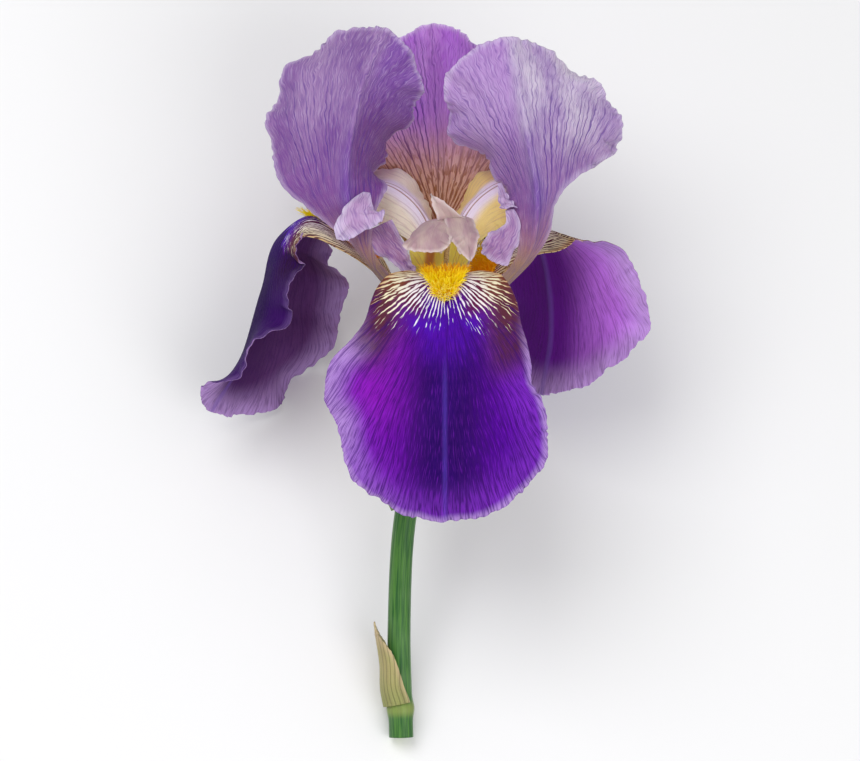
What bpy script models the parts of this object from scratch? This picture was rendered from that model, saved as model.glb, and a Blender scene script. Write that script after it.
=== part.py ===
"""A cut bearded iris: one open bloom on its stem, lying on a surface.

The flower is modelled upright about its own axis, in millimetres, with its front fall towards -Y.
An empty then lays it down on three low points: the cut end and the back edges of two falls.
"""
import math

import bmesh
import bpy
import numpy as np

MM = 0.001
GAP = 0.35

# How the flower lies: turns about its own axes in degrees, then a shift in millimetres
LIE_TURN = (-69.508, -8.776, -3.263)
LIE_SHIFT = (4.117, 23.605, 49.217)

# The axis of stem, ovary and tube: places (x, y, z) from the cut end up to the petals
STEM_AXIS = ((-12, 0, -128), (-12.5, 0, -95), (-11, 0, -68), (-6.5, 0, -45), (-1.8, 0, -29), (0, 0, -20),
             (0, 0, -16))
STEM_RADIUS = 3.05
STEM_TOP = -60.0
OVARY_TOP = -37.0
TUBE_TOP = -16.0
TUBE_RIM_RADIUS = 7.6
CLAW_RADIUS = 5.9
CLAW_FOOT = -15.1

# Blades: thickness at the margin and at the midrib, and how far the midrib's swelling reaches
MARGIN_THICK = 0.75
RIB_THICK = 1.5
RIB_REACH = 3.0

# Beards: start on the blade's length, half width and height of the hairs
BEARD_START = 0.13
BEARD_HALF_WIDTH = 4.2
BEARD_HEIGHT = 2.2

# Flat outlines: (share of the length, half width left, half width right)
LEFT_FALL_OUTLINE = ((0, 1.6, 1.6), (0.10, 3.4, 3.4), (0.17, 7, 7), (0.25, 15, 13), (0.32, 19.5, 16),
                     (0.42, 23, 18), (0.58, 29, 19), (0.72, 33, 19))
FRONT_FALL_OUTLINE = ((0, 1.6, 1.6), (0.10, 3.4, 3.4), (0.17, 7, 7), (0.25, 15, 15), (0.32, 19.5, 19),
                      (0.42, 22.5, 21), (0.52, 31, 23.5), (0.6, 33.5, 25.5), (0.72, 29, 29))
RIGHT_FALL_OUTLINE = ((0, 1.6, 1.6), (0.10, 3.4, 3.4), (0.17, 7, 7), (0.25, 15, 15), (0.32, 19.5, 19),
                      (0.42, 22, 21), (0.58, 28, 25), (0.72, 33, 29))
LEFT_STANDARD_OUTLINE = ((0, 1.6, 1.6), (0.16, 3, 3), (0.36, 4.5, 4.5), (0.42, 9.5, 8), (0.49, 18, 15),
                         (0.58, 26, 22), (0.73, 30, 26))
RIGHT_STANDARD_OUTLINE = ((0, 1.6, 1.6), (0.16, 3, 3), (0.36, 4.5, 4.5), (0.42, 8, 7), (0.48, 12.5, 10.5),
                          (0.52, 14.5, 17), (0.56, 16.5, 26), (0.62, 19, 29), (0.68, 23, 29.6),
                          (0.73, 27, 30))
BACK_STANDARD_OUTLINE = ((0, 1.6, 1.6), (0.16, 3, 3), (0.28, 5, 5), (0.38, 10, 10), (0.47, 18, 18),
                         (0.58, 26, 25), (0.73, 29, 28))
STYLE_OUTLINE = ((0, 1.2, 1.2), (0.25, 3, 3), (0.45, 8, 8), (0.75, 12.5, 12.5))
FRONT_STYLE_OUTLINE = ((0, 1.2, 1.2), (0.25, 3, 3), (0.45, 8, 7.5), (0.75, 12.5, 9.5))
SPATHE_OUTLINE = ((0, 9.5, 9.5), (0.3, 12, 12), (0.6, 10, 10), (0.85, 5, 5), (1.0, 1.2, 1.2))
BRACT_OUTLINE = ((0, 9.6, 9.6), (0.35, 8.6, 8.6), (0.7, 5.5, 5.5), (1.0, 1.0, 1.0))


def smooth(stations, place, flat_end=False):
    """Read a smooth curve through stations (place, value, ...) at an array of places."""
    knots = np.array([station[0] for station in stations], float)
    values = np.array([station[1:] for station in stations], float)
    slopes = np.gradient(values, knots, axis=0)
    if flat_end:
        slopes[-1] = 0
    place = np.clip(place, knots[0], knots[-1])
    left = np.clip(np.searchsorted(knots, place) - 1, 0, len(knots) - 2)
    step = (knots[left + 1] - knots[left])[..., None]
    share = (place - knots[left])[..., None] / step
    return (values[left] * (1 + 2 * share) * (1 - share) ** 2
            + values[left + 1] * share ** 2 * (3 - 2 * share)
            + step * slopes[left] * share * (1 - share) ** 2
            - step * slopes[left + 1] * share ** 2 * (1 - share))


def even_curve(points, count=240):
    """Lay a smooth curve through points and return its points and the length up to each."""
    points = np.array(points, float)
    chord = np.concatenate(([0], np.cumsum(np.linalg.norm(np.diff(points, axis=0), axis=1))))
    dense = smooth(np.column_stack((chord, points)), np.linspace(0, chord[-1], count))
    marks = np.concatenate(([0], np.cumsum(np.linalg.norm(np.diff(dense, axis=0), axis=1))))
    return dense, marks


def to_flower(place, azimuth):
    """Turn a place (outwards, sideways, up) seen at an azimuth to the flower's own x, y, z."""
    sine, cosine = math.sin(azimuth), math.cos(azimuth)
    outwards, sideways, up = place[..., 0], place[..., 1], place[..., 2]
    return np.stack([sine * outwards + cosine * sideways,
                     -cosine * outwards + sine * sideways, up], axis=-1)


def mirrored_bend(bend):
    """The same bend with its left and right halves swapped."""
    return tuple((share, right_rise, right_curl, left_rise, left_curl, -twist)
                 for share, left_rise, left_curl, right_rise, right_curl, twist in bend)


class Blade:
    """A petal or leaf: a flat outline bent along a midrib that starts near the flower's axis.

    The midrib is a list of places (outwards, sideways, up) seen at the blade's azimuth.
    The bend rows are (share of length, left rise, left curl, right rise, right curl, twist) in
    degrees: rise is the slope at which a half leaves the midrib, curl is what it gains up to the
    widest half width, both positive towards the blade's inner face.
    """

    def __init__(self, azimuth, midrib, outline, bend, tip_from=1.0, waves=(0, 1, 0), notch=0.0):
        self.azimuth = math.radians(azimuth)
        self.rib, self.marks = even_curve(midrib)
        self.tangent = np.gradient(self.rib, self.marks, axis=0)
        self.length = self.marks[-1]
        self.outline = outline
        self.widest = max(max(row[1:]) for row in outline)
        self.bend = bend
        self.tip_from = tip_from
        self.waves = waves
        self.notch = notch

    def flat(self, along, across):
        """Flat place (x, y) for along from 0 to 1 and across from -1 to 1; the tip is a half disc."""
        body = np.minimum(along, self.tip_from)
        half = smooth(self.outline, body, flat_end=self.tip_from < 1)
        half = np.where(across < 0, half[..., 0], half[..., 1])
        tip = np.clip((along - self.tip_from) / max(1 - self.tip_from, 1e-9), 0, 1)
        x = across * half * np.sqrt(1 - tip ** 2 / 2)
        dip = 1 - self.notch * np.clip(1 - np.abs(across) / 0.4, 0, 1)
        y = self.length * (body + tip * np.sqrt(1 - across ** 2 / 2) * dip * (1 - self.tip_from))
        return x, y

    def place(self, x, y, across):
        """Bent place of flat (x, y); across, -1 to 1, says how near the margin it is."""
        rib = np.stack([np.interp(y, self.marks, self.rib[:, k]) for k in range(3)], axis=-1)
        run = np.stack([np.interp(y, self.marks, self.tangent[:, k]) for k in range(3)], axis=-1)
        run /= np.linalg.norm(run, axis=-1, keepdims=True)
        share = y / self.length
        bend = np.radians(smooth(self.bend, share))
        left = x < 0
        rise = np.where(left, bend[..., 0], bend[..., 2])
        curl = np.where(left, bend[..., 1], bend[..., 3]) * np.abs(x) / self.widest
        twist = bend[..., 4:5]
        inner = np.stack([-run[..., 2], np.zeros_like(y), run[..., 0]], axis=-1)
        inner /= np.linalg.norm(inner, axis=-1, keepdims=True)
        sideways = np.cross(inner, run)
        sideways, inner = (np.cos(twist) * sideways + np.sin(twist) * inner,
                           np.cos(twist) * inner - np.sin(twist) * sideways)
        steps = (np.arange(16) + 0.5) / 16
        angles = rise[..., None] + curl[..., None] * steps
        out = x * np.cos(angles).mean(axis=-1)
        lift = np.abs(x) * np.sin(angles).mean(axis=-1)
        height, count, phase = self.waves
        turn = 2 * math.pi * count * share + np.where(left, phase, phase + 2)
        wave = height * np.abs(across) ** 2.5 * np.sin(turn) * np.clip(share * 3 - 0.9, 0, 1)
        edge = (rise + curl)[..., None]
        skin = np.cos(edge) * inner - np.where(left, -1, 1)[..., None] * np.sin(edge) * sideways
        place = rib + out[..., None] * sideways + lift[..., None] * inner + wave[..., None] * skin
        return to_flower(place, self.azimuth)

    def half_thickness(self, x, along):
        """Half the blade's thickness: a rib down the middle that thins out towards the tip."""
        rib = np.exp(-(x / RIB_REACH) ** 2) * (1 - 0.8 * along)
        return (MARGIN_THICK + (RIB_THICK - MARGIN_THICK) * rib) / 2


def lying_frame():
    """The empty that carries the whole flower and lays it down."""
    empty = bpy.data.objects.new("lying_flower", None)
    empty.rotation_euler = [math.radians(turn) for turn in LIE_TURN]
    empty.location = [MM * shift for shift in LIE_SHIFT]
    bpy.context.collection.objects.link(empty)
    return empty


def material(name, colour, roughness):
    """A plain material of one colour and roughness."""
    made = bpy.data.materials.get(name) or bpy.data.materials.new(name)
    made.use_nodes = True
    shader = made.node_tree.nodes["Principled BSDF"]
    shader.inputs["Base Color"].default_value = (*colour, 1)
    shader.inputs["Roughness"].default_value = roughness
    shader.inputs["Metallic"].default_value = 0
    return made


def add_object(name, places, faces, finish):
    """Make a named object under the lying frame from places in millimetres."""
    mesh = bpy.data.meshes.new(name)
    mesh.from_pydata([tuple(MM * np.array(place)) for place in places], [], faces)
    mesh.shade_smooth()
    mesh.materials.append(finish)
    made = bpy.data.objects.new(name, mesh)
    made.parent = LYING
    bpy.context.collection.objects.link(made)
    return made


def grid_faces(rows, columns, first=0, closed=False):
    """Triangles of a grid of places, every cell cut along the same diagonal."""
    faces = []
    width = columns if closed else columns + 1
    for i in range(rows):
        for j in range(columns):
            a = first + i * width + j
            b = first + i * width + (j + 1) % width
            faces += [(a, a + width, b + width), (a, b + width, b)]
    return faces


def add_blade(name, blade, rows, columns, finish):
    """A blade of real thickness on a grid of rows along it and columns across it."""
    along, across = np.meshgrid(np.linspace(0, 1, rows + 1), np.linspace(-1, 1, columns + 1),
                                indexing="ij")
    x, y = blade.flat(along, across)
    places = blade.place(x, y, across)
    made = add_object(name, places.reshape(-1, 3), grid_faces(rows, columns), finish)
    weight = 2 * blade.half_thickness(x, along) / RIB_THICK
    group = made.vertex_groups.new(name="thickness")
    for number, share in enumerate(weight.reshape(-1)):
        group.add([number], float(share), "REPLACE")
    wall = made.modifiers.new("wall", "SOLIDIFY")
    wall.thickness = RIB_THICK * MM
    wall.offset = 0
    wall.vertex_group = "thickness"
    return made


def add_beard(name, blade, end, finish):
    """A pad of tufted hairs on a fall's haft: every second place of a strip is raised higher."""
    rows, columns = 14, 6
    along, across = np.meshgrid(np.linspace(BEARD_START, end, rows + 1),
                                np.linspace(-1, 1, columns + 1), indexing="ij")
    share = (along - BEARD_START) / (end - BEARD_START)
    round_ends = np.sqrt(np.clip(1.02 - (2 * share - 1) ** 4, 0, 1))
    x = across * BEARD_HALF_WIDTH * round_ends * (0.8 + 0.4 * share)
    y = along * blade.length
    reach = 0.2
    middle = blade.place(x, y, 0 * x)
    normal = np.cross(blade.place(x, y + reach, 0 * x) - blade.place(x, y - reach, 0 * x),
                      blade.place(x + reach, y, 0 * x) - blade.place(x - reach, y, 0 * x))
    normal /= np.linalg.norm(normal, axis=-1, keepdims=True)
    foot = middle + normal * (blade.half_thickness(x, along) + GAP)[..., None]
    crown = np.sqrt(np.clip(1 - across ** 2, 0, 1)) * np.sqrt(np.clip(1 - (2 * share - 1) ** 6, 0, 1))
    rows_up, columns_up = np.indices(along.shape)
    tuft = np.where((rows_up + columns_up) % 2 == 0, 1.0, 0.45)
    top = foot + normal * (0.3 + BEARD_HEIGHT * crown * tuft)[..., None]
    places = np.concatenate((foot.reshape(-1, 3), top.reshape(-1, 3)))
    count = along.size
    lower = [face[::-1] for face in grid_faces(rows, columns)]
    upper = grid_faces(rows, columns, first=count)
    rim = ([j for j in range(columns)] + [i * (columns + 1) + columns for i in range(rows)]
           + [rows * (columns + 1) + j for j in range(columns, 0, -1)]
           + [i * (columns + 1) for i in range(rows, 0, -1)])
    sides = []
    for a, b in zip(rim, rim[1:] + rim[:1]):
        sides += [(a, b, b + count), (a, b + count, a + count)]
    return face_outwards(add_object(name, places, lower + upper + sides, finish))


def add_turned(name, axis, radii, sides, finish, across=(0.0, 1.0, 0.0)):
    """A round body along an axis: axis places (x, y, z) and a radius at each, with closed ends."""
    axis = np.array(axis, float)
    run = np.gradient(axis, axis=0)
    run /= np.linalg.norm(run, axis=1, keepdims=True)
    side = np.cross(run, across)
    side /= np.linalg.norm(side, axis=1, keepdims=True)
    up = np.cross(side, run)
    turns = 2 * math.pi * np.arange(sides) / sides
    radii = np.array(radii, float)
    if radii.ndim == 1:
        radii = np.repeat(radii[:, None], sides, axis=1)
    rings = (axis[:, None, :] + radii[..., None] * (np.cos(turns)[None, :, None] * side[:, None, :]
             + np.sin(turns)[None, :, None] * up[:, None, :]))
    places = rings.reshape(-1, 3)
    rows = len(axis) - 1
    faces = grid_faces(rows, sides, closed=True)
    last = rows * sides
    faces += [(0, k + 1, k) for k in range(1, sides - 1)]
    faces += [(last, last + k, last + k + 1) for k in range(1, sides - 1)]
    return face_outwards(add_object(name, places, faces, finish))


def face_outwards(made):
    """Turn every face of a closed body outwards."""
    shell = bmesh.new()
    shell.from_mesh(made.data)
    bmesh.ops.recalc_face_normals(shell, faces=shell.faces)
    if shell.calc_volume(signed=True) < 0:
        bmesh.ops.reverse_faces(shell, faces=shell.faces)
    shell.to_mesh(made.data)
    shell.free()
    return made


def axis_between(low, high, count):
    """Places of the stem's axis from one height to another."""
    dense, _ = even_curve(STEM_AXIS)
    heights = np.linspace(low, high, count)
    return np.stack([np.interp(heights, dense[:, 2], dense[:, 0]),
                     np.interp(heights, dense[:, 2], dense[:, 1]), heights], axis=1)


def make_stem():
    """The green stem up to the ovary, with the low swelling of the node that holds the bract."""
    green = material("stem_green", (0.10, 0.22, 0.06), 0.5)
    count = 23
    axis = axis_between(STEM_AXIS[0][2], STEM_TOP - GAP / 2, count)
    node = np.exp(-((axis[:, 2] + 120) / 3.0) ** 2)
    radii = STEM_RADIUS + 0.5 * node + 0.3 * np.linspace(1, 0, count) ** 2
    add_turned("stem", axis, radii, 12, green)


def make_ovary():
    """The three-cornered ovary under the tube."""
    green = material("ovary_green", (0.16, 0.30, 0.07), 0.45)
    count, sides = 11, 18
    axis = axis_between(STEM_TOP + GAP / 2, OVARY_TOP - GAP / 2, count)
    share = np.linspace(0, 1, count)
    body = 2.9 + 1.8 * np.sin(math.pi * share) ** 0.7
    turns = 2 * math.pi * np.arange(sides) / sides
    ribs = 1 + 0.07 * np.cos(3 * turns)[None, :] * np.sin(math.pi * share)[:, None]
    add_turned("ovary", axis, body[:, None] * ribs, sides, green)


def make_tube():
    """The perianth tube, which flares to carry the claws of the petals."""
    green = material("tube_green", (0.25, 0.30, 0.08), 0.45)
    count = 13
    axis = axis_between(OVARY_TOP + GAP / 2, TUBE_TOP, count)
    share = np.linspace(0, 1, count)
    radii = 3.0 + (TUBE_RIM_RADIUS - 3.0) * share ** 3
    add_turned("perianth_tube", axis, radii, 18, green)


def fall_blades():
    """The three falls, each with its own arch and drape."""
    front = Blade(0, ((CLAW_RADIUS, 0, CLAW_FOOT), (9.5, 0, -6), (15, 0, -0.8), (21, 0, -3.4),
                      (28, 0, -11.5), (36, 0, -27), (41, 0, -44), (40, 0, -60), (36, 0, -67)),
                  FRONT_FALL_OUTLINE,
                  ((0, 0, 0, 0, 0, 0), (0.18, 10, 6, 10, 6, 0), (0.3, 14, 10, 14, 10, 0),
                   (0.55, 4, -22, 4, -30, 0), (0.8, 0, -20, 0, -26, 0), (1, 0, -10, 0, -14, 0)),
                  tip_from=0.72, waves=(1.8, 6, 0.6))
    right = Blade(131, ((CLAW_RADIUS, 0, CLAW_FOOT), (12, 0, -4), (21, 0, 9), (29.5, 0, 15), (36, 0, 9),
                        (40, 0, -4), (40, 0, -19), (36, 0, -33)),
                  RIGHT_FALL_OUTLINE,
                  ((0, 0, 0, 0, 0, 0), (0.2, 6, 0, 6, 0, 0), (0.38, -9, -24, -8, -20, 0),
                   (0.55, 2, 8, 0, 0, 0), (0.8, 5, 15, 5, 10, 0), (1, 0, 10, 0, 10, 0)),
                  tip_from=0.72, waves=(2.2, 5, 2.0))
    left = Blade(-100, ((CLAW_RADIUS, 0, CLAW_FOOT), (13, 0, -5), (25, 0, 9), (38, 0, 17), (47, 0, 11),
                        (52, 0, -4), (57, 0, -21), (66, 0, -38)),
                 LEFT_FALL_OUTLINE,
                 ((0, 0, 0, 0, 0, 0), (0.2, 6, 0, -6, 0, 0), (0.38, -6, -22, -12, -24, 0),
                  (0.6, -12, -40, -32, -60, 8), (0.85, 0, -10, -30, -20, 22), (1, 0, 0, 0, 0, 28)),
                 tip_from=0.72, waves=(3.0, 6, 1.0))
    return {"front": front, "right": right, "left": left}


def standard_blades():
    """The three standards: two stand open beside the front fall, one behind."""
    left = Blade(-60, ((CLAW_RADIUS, 0, CLAW_FOOT), (16, 0, -4), (26, 0, 7), (31, 0, 23), (29, 0, 42),
                       (24, 0, 58), (18, 0, 68)),
                 LEFT_STANDARD_OUTLINE,
                 ((0, 0, 0, 0, 0, 0), (0.3, 10, 10, 10, 10, 20), (0.45, 0, 15, 55, 40, 30),
                  (0.6, 0, 15, 84, 40, 30), (0.75, 0, 15, 74, 35, 30), (1, 0, 25, 50, 40, 25)),
                 tip_from=0.73, waves=(1.4, 7, 0.0))
    right = Blade(60, ((CLAW_RADIUS, 0, CLAW_FOOT), (17, 0, -4), (27, 0, 7), (30, -1, 20), (28, -2, 35),
                       (24, -1, 53), (20, 3, 66)),
                  RIGHT_STANDARD_OUTLINE,
                  ((0, 0, 0, 0, 0, 0), (0.3, 10, 10, 10, 10, -20), (0.45, 60, 40, 0, 10, -30),
                   (0.6, 75, 40, -5, 10, -30), (0.75, 56, 40, -5, 10, -30), (1, 25, 40, 0, 10, -25)),
                  tip_from=0.73, waves=(1.6, 6, 1.4))
    back = Blade(180, ((CLAW_RADIUS, 0, CLAW_FOOT), (11, 0, -2), (19, 1, 14), (24, 1, 34), (23, 2, 54),
                       (17, 3, 71.5)),
                 BACK_STANDARD_OUTLINE,
                 ((0, 0, 0, 0, 0, 0), (0.3, 6, 0, 6, 0, 0), (0.5, 6, 12, 6, 12, 0),
                  (0.7, 15, 45, 15, 45, 0), (1, 20, 80, 20, 80, 0)),
                 tip_from=0.73, waves=(1.6, 6, 2.6))
    return {"left": left, "right": right, "back": back}


def style_blades():
    """The three style arms, each arching over a beard and ending in a two-lobed crest."""
    low = ((1.9, 0, CLAW_FOOT), (2.6, 0, -3), (6, 0.5, 9), (12, 1.5, 15), (19, 2, 13), (23, 2, 5))
    high = ((1.9, 0, CLAW_FOOT), (2.3, 0, 0), (4, 0, 13), (9.5, 0, 21), (17, 0, 25.5), (27, 0, 26))
    drape = ((0, 0, 0, 0, 0, 0), (0.3, -10, -20, -6, -10, 0), (0.6, -36, -30, -10, -10, 0),
             (1, -14, -20, 34, 24, 0))
    crest = ((0, 0, 0, 0, 0, 0), (0.3, -10, -20, -10, -20, 0), (0.6, -12, -30, -12, -30, 0),
             (1, -5, -30, -5, -30, 0))
    return {"front": Blade(0, low, FRONT_STYLE_OUTLINE, crest, tip_from=0.75, notch=0.5),
            "right": Blade(117, high, STYLE_OUTLINE, drape, tip_from=0.75, notch=0.5),
            "left": Blade(-116, high, STYLE_OUTLINE, mirrored_bend(drape), tip_from=0.75, notch=0.5)}


def make_falls():
    """The falls with their beards."""
    violet = material("fall_violet", (0.10, 0.01, 0.22), 0.55)
    gold = material("beard_gold", (0.90, 0.45, 0.01), 0.7)
    beard_end = {"front": 0.32, "right": 0.43, "left": 0.43}
    for side, blade in fall_blades().items():
        add_blade("fall_" + side, blade, 20, 14, violet)
        add_beard("beard_" + side, blade, beard_end[side], gold)


def make_standards():
    """The standards."""
    lilac = material("standard_lilac", (0.36, 0.22, 0.55), 0.55)
    for side, blade in standard_blades().items():
        add_blade("standard_" + side, blade, 18, 14, lilac)


def make_styles():
    """The style arms."""
    cream = material("style_cream", (0.75, 0.60, 0.50), 0.5)
    for side, blade in style_blades().items():
        add_blade("style_arm_" + side, blade, 10, 8, cream)


def make_stamens():
    """A stamen under each style arm: a thread-like filament that ends in a long anther."""
    cream = material("stamen_cream", (0.78, 0.66, 0.42), 0.6)
    paths = {"front": (0, ((4.1, 0.4, CLAW_FOOT), (5.9, 0.4, -3), (9.5, 0.6, 6), (16, 1, 9))),
             "right": (124, ((4.1, 0, CLAW_FOOT), (6.4, 0, -2), (10, 0, 9), (17.5, 0, 18))),
             "left": (-108, ((4.1, 0, CLAW_FOOT), (6.4, 0, -2), (10, 0, 9), (17.5, 0, 18)))}
    for side, (azimuth, path) in paths.items():
        dense, marks = even_curve(path)
        share = np.linspace(0, 1, 15)
        local = np.stack([np.interp(share * marks[-1], marks, dense[:, k]) for k in range(3)], axis=1)
        axis = to_flower(local, math.radians(azimuth))
        across = to_flower(np.array((0.0, 1.0, 0.0)), math.radians(azimuth))
        anther = np.clip((share - 0.62) / 0.06, 0, 1)
        radii = 0.55 + 0.45 * anther - 0.5 * np.clip((share - 0.93) / 0.07, 0, 1)
        add_turned("stamen_" + side, axis, radii, 8, cream, across)


def make_spathes():
    """The two sheathing leaves round the ovary and the small bract low on the stem."""
    spathe_green = material("spathe_green", (0.22, 0.30, 0.10), 0.55)
    papery = material("bract_papery", (0.52, 0.45, 0.25), 0.65)
    outer = Blade(-90, ((15.7, 0, -64.5), (16.2, 0, -57), (14.9, 0, -48), (11.4, 0, -34), (9.2, 0, -24)),
                  SPATHE_OUTLINE, ((0, 0, 128, 0, 128, 0), (0.2, 0, 100, 0, 100, 0),
                                   (0.5, 0, 90, 0, 90, 0), (1, 0, 80, 0, 80, 0)))
    inner = Blade(90, ((-6, 0, -62.5), (-3.5, 0, -56), (-0.9, 0, -48), (2.4, 0, -34), (7.2, 0, -21)),
                  SPATHE_OUTLINE, ((0, 0, 165, 0, 165, 0), (0.2, 0, 116, 0, 116, 0),
                                   (0.5, 0, 111, 0, 111, 0), (1, 0, 80, 0, 80, 0)))
    add_blade("spathe_outer", outer, 10, 12, spathe_green)
    add_blade("spathe_inner", inner, 10, 12, spathe_green)
    bract = Blade(-90, ((17.3, 0, -119), (17.5, 0, -108), (19.5, 0, -96)), BRACT_OUTLINE,
                  ((0, 0, 108, 0, 108, 0), (0.5, 0, 104, 0, 104, 0), (1, 0, 60, 0, 60, 0)))
    add_blade("stem_bract", bract, 7, 10, papery)


for old in list(bpy.data.objects):
    bpy.data.objects.remove(old, do_unlink=True)
LYING = lying_frame()
make_stem()
make_ovary()
make_tube()
make_falls()
make_standards()
make_styles()
make_stamens()
make_spathes()
bpy.context.view_layer.update()
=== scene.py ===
import math

import bpy
import numpy as np
from mathutils import Euler, Matrix, Vector, kdtree


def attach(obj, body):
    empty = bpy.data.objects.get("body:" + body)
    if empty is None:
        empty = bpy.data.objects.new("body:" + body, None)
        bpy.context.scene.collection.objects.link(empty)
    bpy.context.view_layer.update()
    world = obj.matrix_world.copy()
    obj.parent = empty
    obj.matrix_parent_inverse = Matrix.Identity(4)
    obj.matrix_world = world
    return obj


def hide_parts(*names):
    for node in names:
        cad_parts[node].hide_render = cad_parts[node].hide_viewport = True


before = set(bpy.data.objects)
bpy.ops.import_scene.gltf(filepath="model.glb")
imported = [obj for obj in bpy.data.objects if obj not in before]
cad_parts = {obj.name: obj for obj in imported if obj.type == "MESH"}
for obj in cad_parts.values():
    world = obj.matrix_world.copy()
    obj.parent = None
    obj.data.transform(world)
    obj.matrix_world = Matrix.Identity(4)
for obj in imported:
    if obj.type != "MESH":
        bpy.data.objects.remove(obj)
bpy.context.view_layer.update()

# Stem
# The fleshy green flower stem, cut straight across: round, faintly ribbed and waxy, with a low ring
# where the small bract grows. The bloom is modelled upright about its own axis in millimetres, front
# fall towards -Y, and every place is then laid down as the cut flower lies.
LIE_TURN = (-69.508, -8.776, -3.263)
LIE_SHIFT = (4.117, 23.605, 49.217)
LIE_MATRIX = np.array(Euler([math.radians(turn) for turn in LIE_TURN], "XYZ").to_matrix())
LOWEST_PLACE = 0.00003
STEM_AXIS = ((-12, 0, -128), (-12.5, 0, -95), (-11, 0, -68), (-6.5, 0, -45), (-1.8, 0, -29),
             (0, 0, -20), (0, 0, -16))
STEM_RADIUS = 3.05
STEM_TOP = -60.0
STEM_RINGS = 150
STEM_SIDES = 56
BRACT_NODE = -120.0
HALF_GAP = 0.175


def laid_down(places):
    """Turn places in the upright flower's millimetres into metres in the frame of the lying flower."""
    return (np.asarray(places, float) @ LIE_MATRIX.T + LIE_SHIFT) * 0.001


def smooth(stations, place, flat_end=False):
    """Read a smooth curve through stations (place, value, ...) at an array of places."""
    knots = np.array([station[0] for station in stations], float)
    values = np.array([station[1:] for station in stations], float)
    slopes = np.gradient(values, knots, axis=0)
    if flat_end:
        slopes[-1] = 0
    place = np.clip(place, knots[0], knots[-1])
    left = np.clip(np.searchsorted(knots, place) - 1, 0, len(knots) - 2)
    step = (knots[left + 1] - knots[left])[..., None]
    share = (place - knots[left])[..., None] / step
    return (values[left] * (1 + 2 * share) * (1 - share) ** 2
            + values[left + 1] * share ** 2 * (3 - 2 * share)
            + step * slopes[left] * share * (1 - share) ** 2
            - step * slopes[left + 1] * share ** 2 * (1 - share))


def even_curve(points, count=240):
    """Lay a smooth curve through points and return its points and the length up to each."""
    points = np.array(points, float)
    chord = np.concatenate(([0], np.cumsum(np.linalg.norm(np.diff(points, axis=0), axis=1))))
    dense = smooth(np.column_stack((chord, points)), np.linspace(0, chord[-1], count))
    marks = np.concatenate(([0], np.cumsum(np.linalg.norm(np.diff(dense, axis=0), axis=1))))
    return dense, marks


def grow_piece(name, places, faces, finish, values):
    """Make a mesh object from flower places in millimetres, with named values on its points."""
    mesh = bpy.data.meshes.new(name)
    places = laid_down(places)
    places[:, 2] = np.maximum(places[:, 2], LOWEST_PLACE)
    mesh.from_pydata(places.tolist(), [], faces)
    for label, numbers in values.items():
        numbers = np.asarray(numbers, np.float32)
        kind, field = ("FLOAT_VECTOR", "vector") if numbers.ndim == 2 else ("FLOAT", "value")
        mesh.attributes.new(label, kind, "POINT").data.foreach_set(field, numbers.ravel())
    mesh.shade_smooth()
    mesh.materials.append(finish)
    piece = bpy.data.objects.new(name, mesh)
    bpy.context.scene.collection.objects.link(piece)
    return piece


def fit_piece(piece, node):
    """Let a finished piece stand for its solid and move with the flower."""
    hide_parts(node)
    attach(piece, "root")


def turns_round(sides):
    """The turns of a ring's places, in radians."""
    return 2 * math.pi * np.arange(sides) / sides


def turned_piece(name, axis, radii, finish, low=0.0, high=1.0, across=(0.0, 1.0, 0.0)):
    """A closed body of rings round an axis, with a row of radii for each place of the axis.

    Its points carry (cosine, sine, height), where height runs from low to high.
    """
    rows, sides = radii.shape
    run = np.gradient(axis, axis=0)
    run /= np.linalg.norm(run, axis=1, keepdims=True)
    side = np.cross(run, across)
    side /= np.linalg.norm(side, axis=1, keepdims=True)
    up = np.cross(run, side)
    cosine, sine = np.cos(turns_round(sides)), np.sin(turns_round(sides))
    rings = axis[:, None, :] + radii[..., None] * (cosine[None, :, None] * side[:, None, :]
                                                   + sine[None, :, None] * up[:, None, :])
    places = np.concatenate((rings.reshape(-1, 3), axis[:1], axis[-1:]))
    ring = np.stack([np.tile(cosine, rows), np.tile(sine, rows),
                     np.repeat(np.linspace(low, high, rows), sides)], axis=1)
    ring = np.concatenate((ring, [[0, 0, low], [0, 0, high]]))
    faces = [(i * sides + j, i * sides + (j + 1) % sides, (i + 1) * sides + (j + 1) % sides,
              (i + 1) * sides + j) for i in range(rows - 1) for j in range(sides)]
    foot, top, last = rows * sides, rows * sides + 1, (rows - 1) * sides
    faces += [(foot, (j + 1) % sides, j) for j in range(sides)]
    faces += [(top, last + j, last + (j + 1) % sides) for j in range(sides)]
    return grow_piece(name, places, faces, finish, {"ring": ring})


def axis_between(low, high, count):
    """Places of the stem's axis from one height to another."""
    dense, _ = even_curve(STEM_AXIS)
    heights = np.linspace(low, high, count)
    return np.stack([np.interp(heights, dense[:, 2], dense[:, 0]),
                     np.interp(heights, dense[:, 2], dense[:, 1]), heights], axis=1)


def tint(red, green, blue):
    """A colour from picture values 0 to 255 as the shader's linear red, green, blue and alpha."""
    return *(((c / 255 + 0.055) / 1.055) ** 2.4 if c > 10 else c / 3295 for c in (red, green, blue)), 1


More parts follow.
